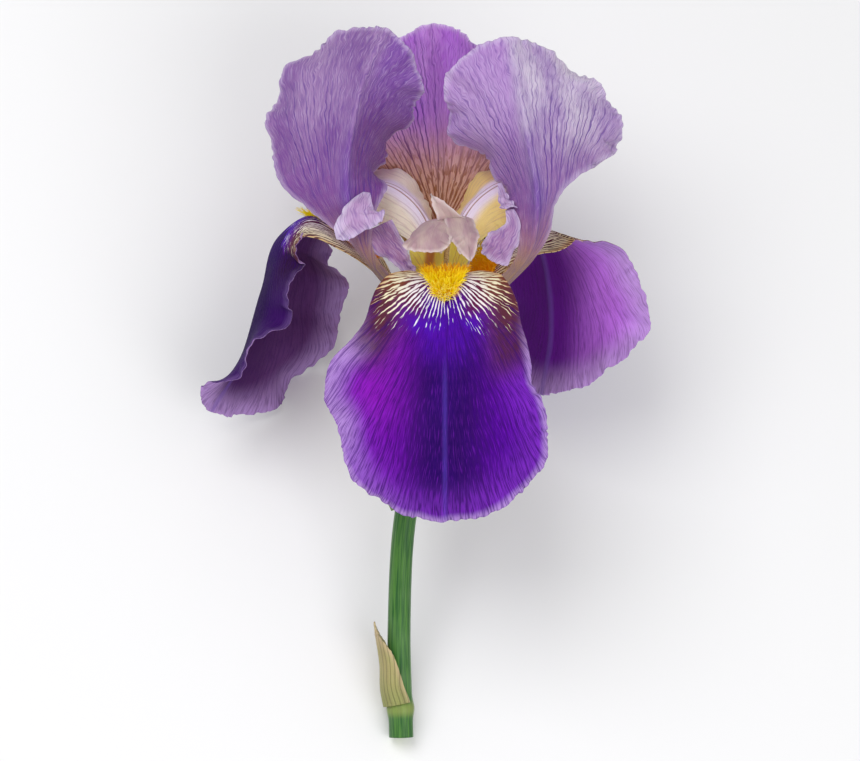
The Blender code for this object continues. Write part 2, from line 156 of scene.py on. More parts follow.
class Wire:
    """An output in a tree of nodes. Arithmetic on wires and numbers adds Math nodes."""

    def __init__(self, tree, socket):
        self.tree = tree
        self.socket = socket

    def siblings(self):
        """A wire for each output of the same node."""
        return [Wire(self.tree, socket) for socket in self.socket.node.outputs]

    def reckon(self, operation, *others):
        """A Math node with this as its first value."""
        return put(self.tree, "ShaderNodeMath", dict(enumerate((self, *others))), operation=operation)

    def at_least(self, other):
        """The larger of two values."""
        return self.reckon("MAXIMUM", other)

    def __abs__(self):
        return self.reckon("ABSOLUTE")

    def __add__(self, other):
        return self.reckon("ADD", other)

    def __sub__(self, other):
        return self.reckon("SUBTRACT", other)

    def __rsub__(self, other):
        return put(self.tree, "ShaderNodeMath", {0: other, 1: self}, operation="SUBTRACT")

    def __mul__(self, other):
        return self.reckon("MULTIPLY", other)

    def __truediv__(self, other):
        return self.reckon("DIVIDE", other)

    def __rtruediv__(self, other):
        return put(self.tree, "ShaderNodeMath", {0: other, 1: self}, operation="DIVIDE")

    def __pow__(self, other):
        return self.reckon("POWER", other)


def feed(tree, node, inputs):
    """Link a node's inputs to wires, or set them to plain values."""
    for key, value in inputs.items():
        if isinstance(value, Wire):
            tree.links.new(value.socket, node.inputs[key])
        else:
            node.inputs[key].default_value = value


def put(tree, kind, inputs=None, out=0, **settings):
    """Add a node with its settings, feed its inputs and return one of its outputs."""
    made = tree.nodes.new(kind)
    for key, value in settings.items():
        setattr(made, key, value)
    feed(tree, made, inputs or {})
    return Wire(tree, made.outputs[out])


def carried(tree, name, out="Vector"):
    """What the mesh carries on its points under a name."""
    return put(tree, "ShaderNodeAttribute", out=out, attribute_name=name)


def object_place(tree):
    """The place on the finished object, in metres."""
    return put(tree, "ShaderNodeTexCoord", out="Object")


def split(vector):
    """The three parts of a vector."""
    return put(vector.tree, "ShaderNodeSeparateXYZ", {0: vector}).siblings()


def step_up(value, low, high, start=0.0, end=1.0):
    """A soft step from start to end as a value climbs from low to high."""
    ends = {"Value": value, "From Min": low, "From Max": high, "To Min": start, "To Max": end}
    return put(value.tree, "ShaderNodeMapRange", ends, interpolation_type="SMOOTHSTEP")


def blend(share, first, second):
    """Mix two colours by a share from 0 to 1. A colour is a wire, or picture values from 0 to 255."""
    tree = next(item.tree for item in (share, first, second) if isinstance(item, Wire))
    first, second = (tint(*colour) if isinstance(colour, tuple) else colour for colour in (first, second))
    return put(tree, "ShaderNodeMix", {0: share, 6: first, 7: second}, out=2, data_type="RGBA")


def mottle(places, scale, detail=3.0, stretch=(1, 1, 1)):
    """Noise from 0 to 1 on stretched places."""
    moved = put(places.tree, "ShaderNodeMapping", {"Vector": places, "Scale": stretch})
    return put(places.tree, "ShaderNodeTexNoise",
               {"Vector": moved, "Scale": scale, "Detail": detail, "Roughness": 0.55})


def new_finish(name, roughness, glow=0.0, radius=(0.0012, 0.0008, 0.0010), sheen=0.0, coat=0.0,
               shine=0.25):
    """A material with its Principled shader's plain values set; returns it, its tree and shader."""
    made = bpy.data.materials.new(name)
    made.use_nodes = True
    shader = made.node_tree.nodes["Principled BSDF"]
    feed(made.node_tree, shader, {
        "Roughness": roughness, "Subsurface Weight": glow, "Subsurface Radius": radius,
        "Subsurface Scale": 1.0, "Sheen Weight": sheen, "Sheen Roughness": 0.35, "Coat Weight": coat,
        "Coat Roughness": 0.3, "Specular IOR Level": shine})
    return made, made.node_tree, shader


def dress(shader, colour, height=None, depth=0.0001, roughness=None):
    """Feed a shader its colour, and its relief and roughness where they change over the surface."""
    tree, ends = colour.tree, {"Base Color": colour}
    if height is not None:
        ends["Normal"] = put(tree, "ShaderNodeBump", {"Height": height, "Distance": depth, "Strength": 1.0})
    if roughness is not None:
        ends["Roughness"] = roughness
    feed(tree, shader, ends)


def stem_finish():
    """Fresh green skin with long fine streaks, a pale waxy bloom and a pithy pale cut."""
    made, tree, shader = new_finish("stem_green", 0.42, glow=0.15, coat=0.15)
    ring = carried(tree, "ring")
    cosine, sine, height = split(ring)
    place = object_place(tree)
    streaks = mottle(ring, 6.0, 4.0, (1.0, 1.0, 0.012))
    clouds = mottle(place, 60.0, 2.0)
    colour = blend(step_up(streaks, 0.35, 0.65), (34, 88, 36), (78, 128, 52))
    colour = blend(step_up(clouds, 0.45, 0.75, 0.0, 0.35), colour, (120, 152, 108))
    node = abs(height - BRACT_NODE)
    colour = blend(step_up(node, 3.0, 0.5, 0.0, 0.6), colour, (150, 160, 84))
    cut = mottle(place, 900.0, 2.0)
    pith = blend(step_up(cut, 0.5, 0.62), (204, 214, 160), (146, 172, 96))
    from_middle = cosine * cosine + sine * sine
    colour = blend(step_up(from_middle, 0.95, 0.7), colour, pith)
    dress(shader, colour, streaks, 0.00012)
    return made


def make_stem():
    """Ribbed rings along the bent axis, with the ring of the bract's node near the foot."""
    axis = axis_between(STEM_AXIS[0][2], STEM_TOP - HALF_GAP, STEM_RINGS)
    node = np.exp(-((axis[:, 2] - BRACT_NODE) / 2.2) ** 2)
    radii = STEM_RADIUS + 0.55 * node + 0.3 * np.linspace(1, 0, STEM_RINGS) ** 2
    turns = turns_round(STEM_SIDES)
    ribs = 0.05 * np.cos(14 * turns)[None, :] + 0.04 * np.sin(3 * turns + 0.05 * axis[:, 2:3])
    return turned_piece("stem_skin", axis, radii[:, None] + ribs, stem_finish(), axis[0, 2], axis[-1, 2])


fit_piece(make_stem(), "stem")


# Ovary and perianth tube
# The three-cornered green seed vessel at the top of the stem, and the short tube above it that flares
# to carry the claws of all six petals and the style arms. Both are fleshy and smooth.
OVARY_TOP = -37.0
TUBE_TOP = -16.0
TUBE_FOOT_RADIUS = 3.0
TUBE_RIM_RADIUS = 7.6
TUBE_RINGS = 60
TUBE_SIDES = 72


def fleshy_finish(name, low, high, streak):
    """Smooth fleshy green that turns from one colour to another, with fine lengthwise streaks."""
    made, tree, shader = new_finish(name, 0.4, glow=0.15, coat=0.2)
    ring = carried(tree, "ring")
    _, _, height = split(ring)
    place = object_place(tree)
    streaks = mottle(ring, 5.0, 4.0, (1.0, 1.0, 0.12))
    colour = blend(height, low, high)
    colour = blend(step_up(streaks, 0.48, 0.66, 0.0, 0.65), colour, streak)
    clouds = mottle(place, 120.0, 2.0)
    colour = blend(step_up(clouds, 0.4, 0.8, 0.0, 0.3), colour, (190, 200, 120))
    dress(shader, colour, streaks, 0.0001)
    return made


def make_ovary():
    """Six low ribs on three blunt corners."""
    axis = axis_between(STEM_TOP + HALF_GAP, OVARY_TOP - HALF_GAP, TUBE_RINGS)
    swell = np.sin(math.pi * np.linspace(0, 1, TUBE_RINGS))[:, None]
    turns = turns_round(TUBE_SIDES)
    ribs = 1 + (0.07 * np.cos(3 * turns) + 0.018 * np.cos(6 * turns + 0.6))[None, :] * swell
    finish = fleshy_finish("ovary_green", (84, 128, 52), (112, 150, 66), (58, 104, 44))
    return turned_piece("ovary_skin", axis, (2.9 + 1.8 * swell ** 0.7) * ribs, finish)


def make_tube():
    """A trumpet that swells into six faint lobes under the claws."""
    axis = axis_between(OVARY_TOP + HALF_GAP, TUBE_TOP, TUBE_RINGS)
    share = np.linspace(0, 1, TUBE_RINGS)[:, None]
    radii = TUBE_FOOT_RADIUS + (TUBE_RIM_RADIUS - TUBE_FOOT_RADIUS) * share ** 3
    lobes = 1 + 0.012 * np.cos(6 * turns_round(TUBE_SIDES))[None, :] * share ** 2
    finish = fleshy_finish("tube_green", (120, 148, 66), (172, 160, 96), (118, 88, 66))
    return turned_piece("perianth_tube_skin", axis, radii * lobes, finish)


fit_piece(make_ovary(), "ovary")
fit_piece(make_tube(), "perianth_tube")


# Spathes and bract
# Two sheathing leaves that wrapped the bud and now clasp ovary and tube, and a small bract low on the
# stem. They are leafy green at the foot and dry, papery and brown at tip and margins, with long veins.
SPATHE_OUTLINE = ((0, 9.5, 9.5), (0.3, 12, 12), (0.6, 10, 10), (0.85, 5, 5), (1.0, 1.2, 1.2))
BRACT_OUTLINE = ((0, 9.6, 9.6), (0.35, 8.6, 8.6), (0.7, 5.5, 5.5), (1.0, 1.0, 1.0))
SPATHE_THICKNESS = (0.3, 0.6, 0.3)
CURL_STEPS = 16
JAG_LENGTH, JAG_REACH = 1.9, 1.4
FRILL_LENGTH, FRILL_REACH = 3.4, 2.4
RUFFLE_LENGTH, RUFFLE_REACH = 13.0, 8.0
MARGIN_REACH = 1.5
MIDRIB_REACH = 1.3


def to_flower(place, azimuth):
    """Turn a place (outwards, sideways, up) seen at an azimuth to the flower's own x, y, z."""
    sine, cosine = math.sin(azimuth), math.cos(azimuth)
    outwards, sideways, up = place[..., 0], place[..., 1], place[..., 2]
    return np.stack([sine * outwards + cosine * sideways,
                     -cosine * outwards + sine * sideways, up], axis=-1)


def past_claw(share):
    """How far a blade has opened: 0 along its claw, then up to 1, by the share of its length."""
    return np.clip(share * 3 - 0.9, 0, 1)


class Blade:
    """A petal or leaf: a flat outline bent along a midrib that starts near the flower's axis.

    The midrib is a list of places (outwards, sideways, up) seen at the blade's azimuth, in millimetres.
    The bend rows are (share of length, left rise, left curl, right rise, right curl, twist) in
    degrees: rise is the slope at which a half leaves the midrib, curl is what it gains up to the
    widest half width, both positive towards the blade's inner face.
    """

    def __init__(self, azimuth, midrib, outline, bend, tip_from=1.0, waves=(0, 1, 0), notch=0.0):
        self.azimuth = math.radians(azimuth)
        self.rib, self.marks = even_curve(midrib)
        self.tangent = np.gradient(self.rib, self.marks, axis=0)
        self.length = self.marks[-1]
        self.outline = outline
        self.widest = max(max(row[1:]) for row in outline)
        self.bend = bend
        self.tip_from = tip_from
        self.waves = waves
        self.notch = notch

    def flat(self, along, across):
        """Flat place (x, y) for along from 0 to 1 and across from -1 to 1; the tip is a half disc."""
        body = np.minimum(along, self.tip_from)
        half = smooth(self.outline, body, flat_end=self.tip_from < 1)
        half = np.where(across < 0, half[..., 0], half[..., 1])
        tip = np.clip((along - self.tip_from) / max(1 - self.tip_from, 1e-9), 0, 1)
        x = across * half * np.sqrt(1 - tip ** 2 / 2)
        dip = 1 - self.notch * np.clip(1 - np.abs(across) / 0.4, 0, 1)
        y = self.length * (body + tip * np.sqrt(1 - across ** 2 / 2) * dip * (1 - self.tip_from))
        return x, y

    def place(self, x, y, across):
        """Bent place of flat (x, y); across, -1 to 1, says how near the margin it is."""
        rib = np.stack([np.interp(y, self.marks, self.rib[:, k]) for k in range(3)], axis=-1)
        run = np.stack([np.interp(y, self.marks, self.tangent[:, k]) for k in range(3)], axis=-1)
        run /= np.linalg.norm(run, axis=-1, keepdims=True)
        share = y / self.length
        bend = np.radians(smooth(self.bend, share))
        left = x < 0
        rise = np.where(left, bend[..., 0], bend[..., 2])
        curl = np.where(left, bend[..., 1], bend[..., 3]) * np.abs(x) / self.widest
        twist = bend[..., 4:5]
        inner = np.stack([-run[..., 2], np.zeros_like(y), run[..., 0]], axis=-1)
        inner /= np.linalg.norm(inner, axis=-1, keepdims=True)
        sideways = np.cross(inner, run)
        sideways, inner = (np.cos(twist) * sideways + np.sin(twist) * inner,
                           np.cos(twist) * inner - np.sin(twist) * sideways)
        steps = (np.arange(CURL_STEPS) + 0.5) / CURL_STEPS
        angles = rise[..., None] + curl[..., None] * steps
        out = x * np.cos(angles).mean(axis=-1)
        lift = np.abs(x) * np.sin(angles).mean(axis=-1)
        height, count, phase = self.waves
        turn = 2 * math.pi * count * share + np.where(left, phase, phase + 2)
        wave = height * np.abs(across) ** 2.5 * np.sin(turn) * past_claw(share)
        edge = (rise + curl)[..., None]
        skin = np.cos(edge) * inner - np.where(left, -1, 1)[..., None] * np.sin(edge) * sideways
        place = rib + out[..., None] * sideways + lift[..., None] * inner + wave[..., None] * skin
        return to_flower(place, self.azimuth)

    def rim(self, count=900):
        """The flat outline from the foot round the tip and back: points, outward way and length."""
        edge = np.linspace(0, 1, count)
        along = np.concatenate((edge, np.ones(count), edge[::-1]))
        across = np.concatenate((-np.ones(count), np.linspace(-1, 1, count), np.ones(count)))
        points = np.stack(self.flat(along, across), axis=1)
        steps = np.linalg.norm(np.diff(points, axis=0), axis=1)
        points = points[np.concatenate(([True], steps > 1e-6))]
        run = np.gradient(points, axis=0)
        run /= np.linalg.norm(run, axis=1, keepdims=True)
        marks = np.concatenate(([0], np.cumsum(np.linalg.norm(np.diff(points, axis=0), axis=1))))
        return points, np.stack([-run[:, 1], run[:, 0]], axis=1), marks


def grid_normals(places):
    """Smooth normals of a grid of places, towards the blade's inner face."""
    cells = np.cross(places[1:, 1:] - places[:-1, :-1], places[:-1, 1:] - places[1:, :-1])
    total = np.zeros_like(places)
    total[:-1, :-1] += cells
    total[1:, :-1] += cells
    total[:-1, 1:] += cells
    total[1:, 1:] += cells
    return total / (np.linalg.norm(total, axis=-1, keepdims=True) + 1e-12)


def ripple(place, length, seed):
    """A wandering wave from -1 to 1 along a length in millimetres."""
    drift = 1.9 * np.sin(2 * math.pi * place / (5.3 * length) + 1.7 * seed)
    strength = 0.65 + 0.35 * np.sin(2 * math.pi * place / (3.1 * length) + 2.9 * seed)
    return strength * np.sin(2 * math.pi * place / length + drift + seed)


def grid_faces(rows, columns):
    """Quads over a grid of places, facing the blade's inner side."""
    width = columns + 1
    return [(i * width + j, (i + 1) * width + j, (i + 1) * width + j + 1, i * width + j + 1)
            for i in range(rows) for j in range(columns)]


def fine_blade(name, blade, rows, columns, finish, foot, thick, frill, ruffle, seed, looks=(1.0, 0.0)):
    """A closed thin blade on a fine grid, with crimped margins, soft dents and a raised midrib below.

    foot is the place on the midrib, in millimetres, from which the veins fan out. thick holds the
    thickness at the margin and in the body and what the midrib adds at the foot. frill and ruffle are
    the heights of the short and the long waves of the margin, and seed shifts them. looks says
    which look the two faces take: 1 the inner face's, 0 the outer face's.
    """
    lines = np.linspace(-1, 1, columns + 1)
    along, across = np.meshgrid(np.linspace(0, 1, rows + 1), lines * (1.2 - 0.2 * lines ** 2),
                                indexing="ij")
    x, y = blade.flat(along, across)
    points, outward, marks = blade.rim()
    tree = kdtree.KDTree(len(points))
    for number, point in enumerate(points):
        tree.insert((*point, 0), number)
    tree.balance()
    found = [tree.find((a, b, 0)) for a, b in zip(x.ravel(), y.ravel())]
    nearest = np.array([hit[1] for hit in found]).reshape(x.shape)
    edge = np.array([hit[2] for hit in found]).reshape(x.shape)
    rim, away = marks[nearest], outward[nearest]
    opened = past_claw(y / blade.length)
    jag = 0.12 * ripple(rim, JAG_LENGTH, seed) + 0.3 * ripple(rim, 9.0, seed + 2)
    jag = jag * np.exp(-edge / JAG_REACH) * opened
    x, y = x + away[..., 0] * jag, y + away[..., 1] * jag
    middle = blade.place(x, y, across)
    lift = (frill * ripple(rim, FRILL_LENGTH, seed + 1) * np.exp(-(edge / FRILL_REACH) ** 2)
            + ruffle * ripple(rim, RUFFLE_LENGTH, seed + 3) * np.exp(-(edge / RUFFLE_REACH) ** 2)
            + 0.3 * frill * np.sin(x / 2.1 + 2.2 * np.sin(y / 9 + seed)) * np.sin(y / 5.7 + seed))
    middle += grid_normals(middle) * (lift * opened)[..., None]
    normal = grid_normals(middle)
    margin, body, rib = thick
    wall = margin + (body - margin) * (1 - np.exp(-edge / MARGIN_REACH))
    below = wall / 2 + rib * np.exp(-(x / MIDRIB_REACH) ** 2) * (1 - 0.85 * along)
    upper, under = middle + normal * wall[..., None] / 2, middle - normal * below[..., None]
    places = np.concatenate((upper.reshape(-1, 3), under.reshape(-1, 3)))
    count, width = x.size, columns + 1
    cells = grid_faces(rows, columns)
    ring = [*range(columns), *(i * width + columns for i in range(rows)),
            *(rows * width + j for j in range(columns, 0, -1)), *(i * width for i in range(rows, 0, -1))]
    faces = cells + [tuple(count + corner for corner in cell[::-1]) for cell in cells]
    faces += [(a, b, b + count, a + count) for a, b in zip(ring, ring[1:] + ring[:1])]
    values = {"petal": np.tile(np.stack([across, along, y - foot], axis=-1).reshape(-1, 3), (2, 1)),
              "skin": np.tile(np.stack([x, y, edge], axis=-1).reshape(-1, 3), (2, 1)),
              "upper": np.repeat(looks, count)}
    return grow_piece(name, places, faces, finish, values)


VEIN_BOW_HEIGHT = 30.0
VEIN_INPUTS = ("Veins", "Bow", "First fork", "Second fork", "Third fork", "Wander", "Lowest", "Waver")


def vein_group():
    """Veins that fan out from a blade's foot, bow outwards and fork three times.

    Gives the distance to the nearest vein and the room beside it in millimetres, a strength, and two
    noises that run along the veins: a fine grain and broad stripes.
    """
    tree = bpy.data.node_groups.new("petal_veins", "ShaderNodeTree")
    for name in VEIN_INPUTS:
        tree.interface.new_socket(name, in_out="INPUT", socket_type="NodeSocketFloat")
    for name in ("Distance", "Room", "Strength", "Grain", "Stripes"):
        tree.interface.new_socket(name, in_out="OUTPUT", socket_type="NodeSocketFloat")
    given = {socket.name: Wire(tree, socket) for socket in tree.nodes.new("NodeGroupInput").outputs}
    _, _, rise = split(carried(tree, "petal"))
    skin = carried(tree, "skin")
    x, _, _ = split(skin)
    rise = rise.at_least(given["Lowest"])
    climb = abs(rise / VEIN_BOW_HEIGHT) ** given["Bow"] * rise.reckon("SIGN")
    angle = x.reckon("ARCTAN2", climb * VEIN_BOW_HEIGHT) / (math.pi / 2)
    radius = (x * x + rise * rise).reckon("SQRT")
    drift = mottle(skin, 0.06, 1.0, (0.9, 0.7, 0.0)) - 0.5
    waver = mottle(skin, 0.42, 1.0, (1.0, 0.8, 0.0)) - 0.5
    aside = waver * given["Waver"] + drift * given["Wander"]
    line = angle * given["Veins"] + aside
    cell = line.reckon("FLOOR")
    own = put(tree, "ShaderNodeTexWhiteNoise", {"W": cell}, noise_dimensions="1D")
    shift = (own - 0.5) * 0.7
    off = line - cell - 0.5
    gap = radius * (math.pi / 2 / given["Veins"])
    room = gap * 0.5
    for fork, strands, side in (("First fork", 2, 1), ("Second fork", 4, -1), ("Third fork", 8, 1)):
        start = given[fork] * (shift * side + 1.0)
        done = step_up(radius, start, start * 1.5)
        off = abs(off) - done * (0.5 / strands)
        room = room * (1.0 - done * 0.5)
        strand = (line * strands).reckon("FLOOR")
        other = put(tree, "ShaderNodeTexWhiteNoise", {"W": strand}, noise_dimensions="1D")
        own = put(tree, "ShaderNodeMix", {0: done, 2: own, 3: other}, data_type="FLOAT")
    patches = mottle(skin, 0.3, 3.0, (1.2, 0.5, 0.0))
    found = {"Distance": abs(off) * gap, "Room": room, "Strength": own * 0.5 + patches * 0.5}
    for name, close, long, bend in (("Grain", 44.0, 0.24, 0.0), ("Stripes", 4.6, 0.3, 0.5)):
        place = put(tree, "ShaderNodeCombineXYZ", {"X": line * close, "Y": radius * long})
        found[name] = put(tree, "ShaderNodeTexNoise", {
            "Vector": place, "Scale": 1.0, "Detail": 1.5, "Roughness": 0.5, "Distortion": bend})
    feed(tree, tree.nodes.new("NodeGroupOutput"), found)
    return tree


VEINS = vein_group()


def add_veins(tree, count, bow, forks, wander, lowest=1.5, waver=0.0):
    """Place the vein group in a material; returns distance, room, strength, grain and stripes."""
    amounts = dict(zip(VEIN_INPUTS, (count, bow, *forks, wander, lowest, waver)))
    return put(tree, "ShaderNodeGroup", amounts, node_tree=VEINS).siblings()


def leafy_finish(name, foot, body, dry):
    """Green leaf skin with close parallel veins that dries to papery brown at tip and margins."""
    made, tree, shader = new_finish(name, 0.5, glow=0.2, radius=(0.0008, 0.001, 0.0004))
    _, along, _ = split(carried(tree, "petal"))
    skin = carried(tree, "skin")
    _, _, edge = split(skin)
    distance, _, strength, _, _ = add_veins(tree, 520.0, 1.0, (900.0, 900.0, 900.0), 0.5)
    clouds = mottle(skin, 0.22, 3.0, (1.6, 0.5, 0.0))
    colour = blend(step_up(along, 0.0, 0.5), foot, body)
    colour = blend(step_up(clouds, 0.4, 0.7, 0.0, 0.45), colour, (168, 172, 112))
    dryness = clouds * 0.3 + along
    dryness = step_up(dryness, 0.72, 0.98) + step_up(edge, 1.6, 0.0, 0.0, 0.8)
    colour = blend(put(tree, "ShaderNodeClamp", {"Value": dryness}), colour, dry)
    line = step_up(distance, 0.22, 0.0)
    colour = blend(line * 0.5, colour, (86, 92, 48))
    fine = mottle(skin, 2.2, 4.0, (2.5, 0.25, 0.0))
    height = line * 0.8 + fine * 0.8
    colour = blend(step_up(strength, 0.5, 0.75, 0.0, 0.25), colour, (120, 104, 78))
    dress(shader, colour, height, 0.00015)
    return made


def make_spathes():
    """Both leaves are rolled round the stem's axis; the bract is rolled closer."""
    green = leafy_finish("spathe_green", (104, 136, 58), (128, 146, 78), (176, 152, 116))
    papery = leafy_finish("bract_papery", (150, 152, 92), (176, 164, 112), (196, 176, 136))
    outer = Blade(-90, ((14.2, 0, -65), (15.9, 0, -61), (16.3, 0, -56), (14.9, 0, -48), (11.4, 0, -34),
                        (9.2, 0, -24)),
                  SPATHE_OUTLINE, ((0, 0, 184, 0, 184, 0), (0.1, 0, 128, 0, 128, 0),
                                   (0.2, 0, 102, 0, 102, 0), (0.5, 0, 90, 0, 90, 0), (1, 0, 80, 0, 80, 0)))
    inner = Blade(90, ((-6, 0, -62.5), (-3.5, 0, -56), (-0.9, 0, -48), (2.4, 0, -34), (7.2, 0, -21)),
                  SPATHE_OUTLINE, ((0, 0, 165, 0, 165, 0), (0.2, 0, 116, 0, 116, 0),
                                   (0.5, 0, 111, 0, 111, 0), (1, 0, 80, 0, 80, 0)))
    bract = Blade(-90, ((16.4, 0, -119.5), (17.3, 0, -115), (17.6, 0, -108), (19.5, 0, -96)), BRACT_OUTLINE,
                  ((0, 0, 136, 0, 136, 0), (0.2, 0, 112, 0, 112, 0), (0.5, 0, 104, 0, 104, 0),
                   (1, 0, 60, 0, 60, 0)))
    for node, blade, finish, slot in (("spathe_outer", outer, green, "spathe_green"),
                                      ("spathe_inner", inner, green, "spathe_green"),
                                      ("stem_bract", bract, papery, "bract_papery")):
        piece = fine_blade(node + "_leaf", blade, 70, 60, finish, -400.0, SPATHE_THICKNESS, 0.12, 0.15, 4.0)
        fit_piece(piece, node)


make_spathes()


# Standards
# The three upright petals: thin, silky and crimped along the margin. Each rises on a narrow claw, then
# opens wide and folds about its midrib. Violet veins fan out over a pale lilac outer face, and the
# inner face is deeper, turning tan with brown veins towards the claw.
CLAW_RADIUS = 5.9
CLAW_FOOT = -15.1
STANDARD_CLAW = ((0, 1.6, 1.6), (0.16, 3, 3))
LEFT_STANDARD_OUTLINE = (*STANDARD_CLAW, (0.36, 4.5, 4.5), (0.42, 9.5, 8), (0.49, 18, 15),
                         (0.58, 26, 22), (0.73, 30, 26))
RIGHT_STANDARD_OUTLINE = (*STANDARD_CLAW, (0.36, 4.5, 4.5), (0.42, 8, 5.6), (0.48, 12.5, 6.6),
                          (0.52, 14.5, 9.4), (0.555, 16.2, 18), (0.585, 17.6, 27), (0.62, 19.2, 30),
                          (0.67, 22.4, 30.4), (0.73, 27, 30))
BACK_STANDARD_OUTLINE = (*STANDARD_CLAW, (0.28, 5, 5), (0.38, 10, 10), (0.47, 18, 18), (0.58, 26, 25),
                         (0.73, 29, 28))
STANDARD_THICKNESS = (0.18, 0.4, 0.7)
LOBE_THICKNESS = (0.18, 0.36, 0.1)


def read_blade(tree):
    """What a fine blade carries on its points: (across, along, rise), skin, x, edge and upper."""
    skin = carried(tree, "skin")
    x, _, edge = split(skin)
    return split(carried(tree, "petal")), skin, x, edge, carried(tree, "upper", "Fac")


def standard_finish(name, dark, pale, folded=0.0, high=(0, 0, 0), low=(0, 0, 0)):
    """Lilac petal skin: violet veins outside, purple over tan with brown veins inside.

    folded, -1 or 1, says which half turns inwards. high and low are the colours of that half: on the left
    standard they are painted shade, darker than the rest, and on the right a deeper lilac tone.
    """
    made, tree, shader = new_finish(name, 0.5, glow=0.3, sheen=0.1, shine=0.2)
    (_, _, rise), skin, x, edge, upper = read_blade(tree)
    distance, _, strength, grain, stripes = add_veins(tree, 8.0, 1.25, (9.0, 18.0, 32.0), 0.35, waver=0.14)
    from_rib = abs(x)
    clouds = mottle(skin, 0.06, 3.0, (1.3, 0.6, 0.0))
    outer = blend(step_up(clouds, 0.35, 0.65), dark, pale)
    # The half that turns inwards takes its own colours: painted shade on the left standard, a deeper lilac
    # on the right.
    fold_tone_and_shade = blend(step_up(rise, 62.0, 42.0), high, low)
    outer = blend(step_up(x * folded, 0.0, 4.0, 0.0, 0.75), outer, fold_tone_and_shade)
    outer = blend(step_up(rise, 54.0, 14.0, 0.0, 0.85), outer, (124, 64, 142))
    low_middle = step_up(rise, 50.0, 20.0) * step_up(rise, -2.0, 8.0)
    outer = blend(step_up(from_rib, 4.0, 0.3, 0.0, 0.65) * low_middle, outer, (102, 58, 158))
    outer = blend(step_up(rise, 24.0, 6.0), outer, (158, 110, 120))
    outer = blend(step_up(rise, 12.0, -2.0), outer, (172, 140, 84))
    inner = blend(step_up(clouds, 0.3, 0.7), (186, 116, 222), (212, 166, 234))
    tan = step_up(strength * 8.0 + rise, 46.0, 16.0)
    inner = blend(tan, inner, (222, 184, 178))
    inner = blend(step_up(from_rib, 5.0, 0.5, 0.0, 0.4), inner, (180, 118, 196))
    inner = blend(step_up(rise, 38.0, 14.0, 0.0, 0.85), inner, (204, 158, 122))
    base = blend(upper, outer, inner)
    rim = step_up(edge, 2.0, 0.0, 0.0, 0.5) * step_up(rise, 2.0, 20.0)
    base = blend(rim, base, (204, 192, 220))
    brown = tan * upper
    line_colour = blend(brown, (88, 44, 142), (136, 78, 44))
    width = step_up(rise, 0.0, 45.0, 0.45, 0.24)
    line = step_up(distance, width, 0.03)
    strong = step_up(strength, 0.3, 0.7, 0.15, 0.9)
    strong = strong.at_least(brown * step_up(rise, 44.0, 18.0, 0.1, 0.85))
    stripe = step_up(stripes, 0.5, 0.58) * step_up(rise, 40.0, 16.0, 0.0, 0.85)
    strong = strong * step_up(edge, 0.0, 6.0, 0.35, 1.0) * step_up(rise, 36.0, 62.0, 1.0, 0.4)
    base = blend(stripe * brown, base, (140, 80, 34))
    base = blend(step_up(grain, 0.48, 0.68, 0.0, 0.4), base, line_colour)
    base = blend(step_up(grain, 0.5, 0.3, 0.0, 0.22), base, (212, 200, 230))
    colour = blend(line * strong, base, line_colour)
    fine = mottle(skin, 1.6, 3.0, (1.2, 0.8, 0.0))
    crinkle = mottle(skin, 0.6, 4.0, (1.3, 0.6, 0.0))
    height = fine * 0.35 + grain * 0.5 + crinkle - line * (strong * 0.4)
    dress(shader, colour, height, 0.0003)
    return made


def make_standards():
    """Two stand open beside the front fall, one behind."""
    left = Blade(-60, ((CLAW_RADIUS, 0, CLAW_FOOT), (16, 0, -4), (26, 0, 7), (31, 0, 23), (29, 0, 42),
                       (24, 0, 58), (18, 0, 68)),
                 LEFT_STANDARD_OUTLINE,
                 ((0, 0, 0, 0, 0, 0), (0.3, 10, 10, 10, 10, 20), (0.45, 0, 15, 55, 40, 30),
                  (0.6, 0, 15, 84, 40, 30), (0.75, 0, 15, 74, 35, 30), (1, 0, 25, 50, 40, 25)),
                 tip_from=0.73, waves=(1.4, 7, 0.0))
    right = Blade(60, ((CLAW_RADIUS, 0, CLAW_FOOT), (17, 0, -4), (27, 0, 7), (30, -1, 20), (28, -2, 35),
                       (24, -1, 53), (20, 3, 66)),
                  RIGHT_STANDARD_OUTLINE,
                  ((0, 0, 0, 0, 0, 0), (0.3, 10, 10, 10, 10, -20), (0.45, 60, 40, 0, 10, -30),
                   (0.6, 75, 40, -5, 10, -30), (0.75, 56, 40, -5, 10, -30), (1, 25, 40, 0, 10, -25)),
                  tip_from=0.73, waves=(1.6, 6, 1.4))
    back = Blade(180, ((CLAW_RADIUS, 0, CLAW_FOOT), (11, 0, -2), (19, 1, 14), (24, 1, 34), (23, 2, 54),
                       (17, 3, 71.5)),
                 BACK_STANDARD_OUTLINE,
                 ((0, 0, 0, 0, 0, 0), (0.3, 6, 0, 6, 0, 0), (0.5, 6, 12, 6, 12, 0),
                  (0.7, 15, 45, 15, 45, 0), (1, 20, 80, 20, 80, 0)),
                 tip_from=0.73, waves=(1.6, 6, 2.6))
    # The left standard's inward-turned half is painted darker as shade.
    deep = standard_finish("standard_lilac_left", (128, 88, 152), (160, 128, 176), 1.0, (124, 76, 160),
                           (106, 54, 124))
    pale = standard_finish("standard_lilac_right", (164, 138, 186), (204, 192, 212), -1.0,
                           (170, 128, 194), (172, 134, 196))
    for number, (side, blade, finish, foot) in enumerate((
            ("left", left, deep, 22.0), ("right", right, pale, 22.0), ("back", back, pale, 28.0))):
        piece = fine_blade("standard_" + side + "_petal", blade, 170, 130, finish, foot,
                           STANDARD_THICKNESS, 0.45, 0.6, 1.0 + 2.3 * number)
        fit_piece(piece, "standard_" + side)
    make_lobes()


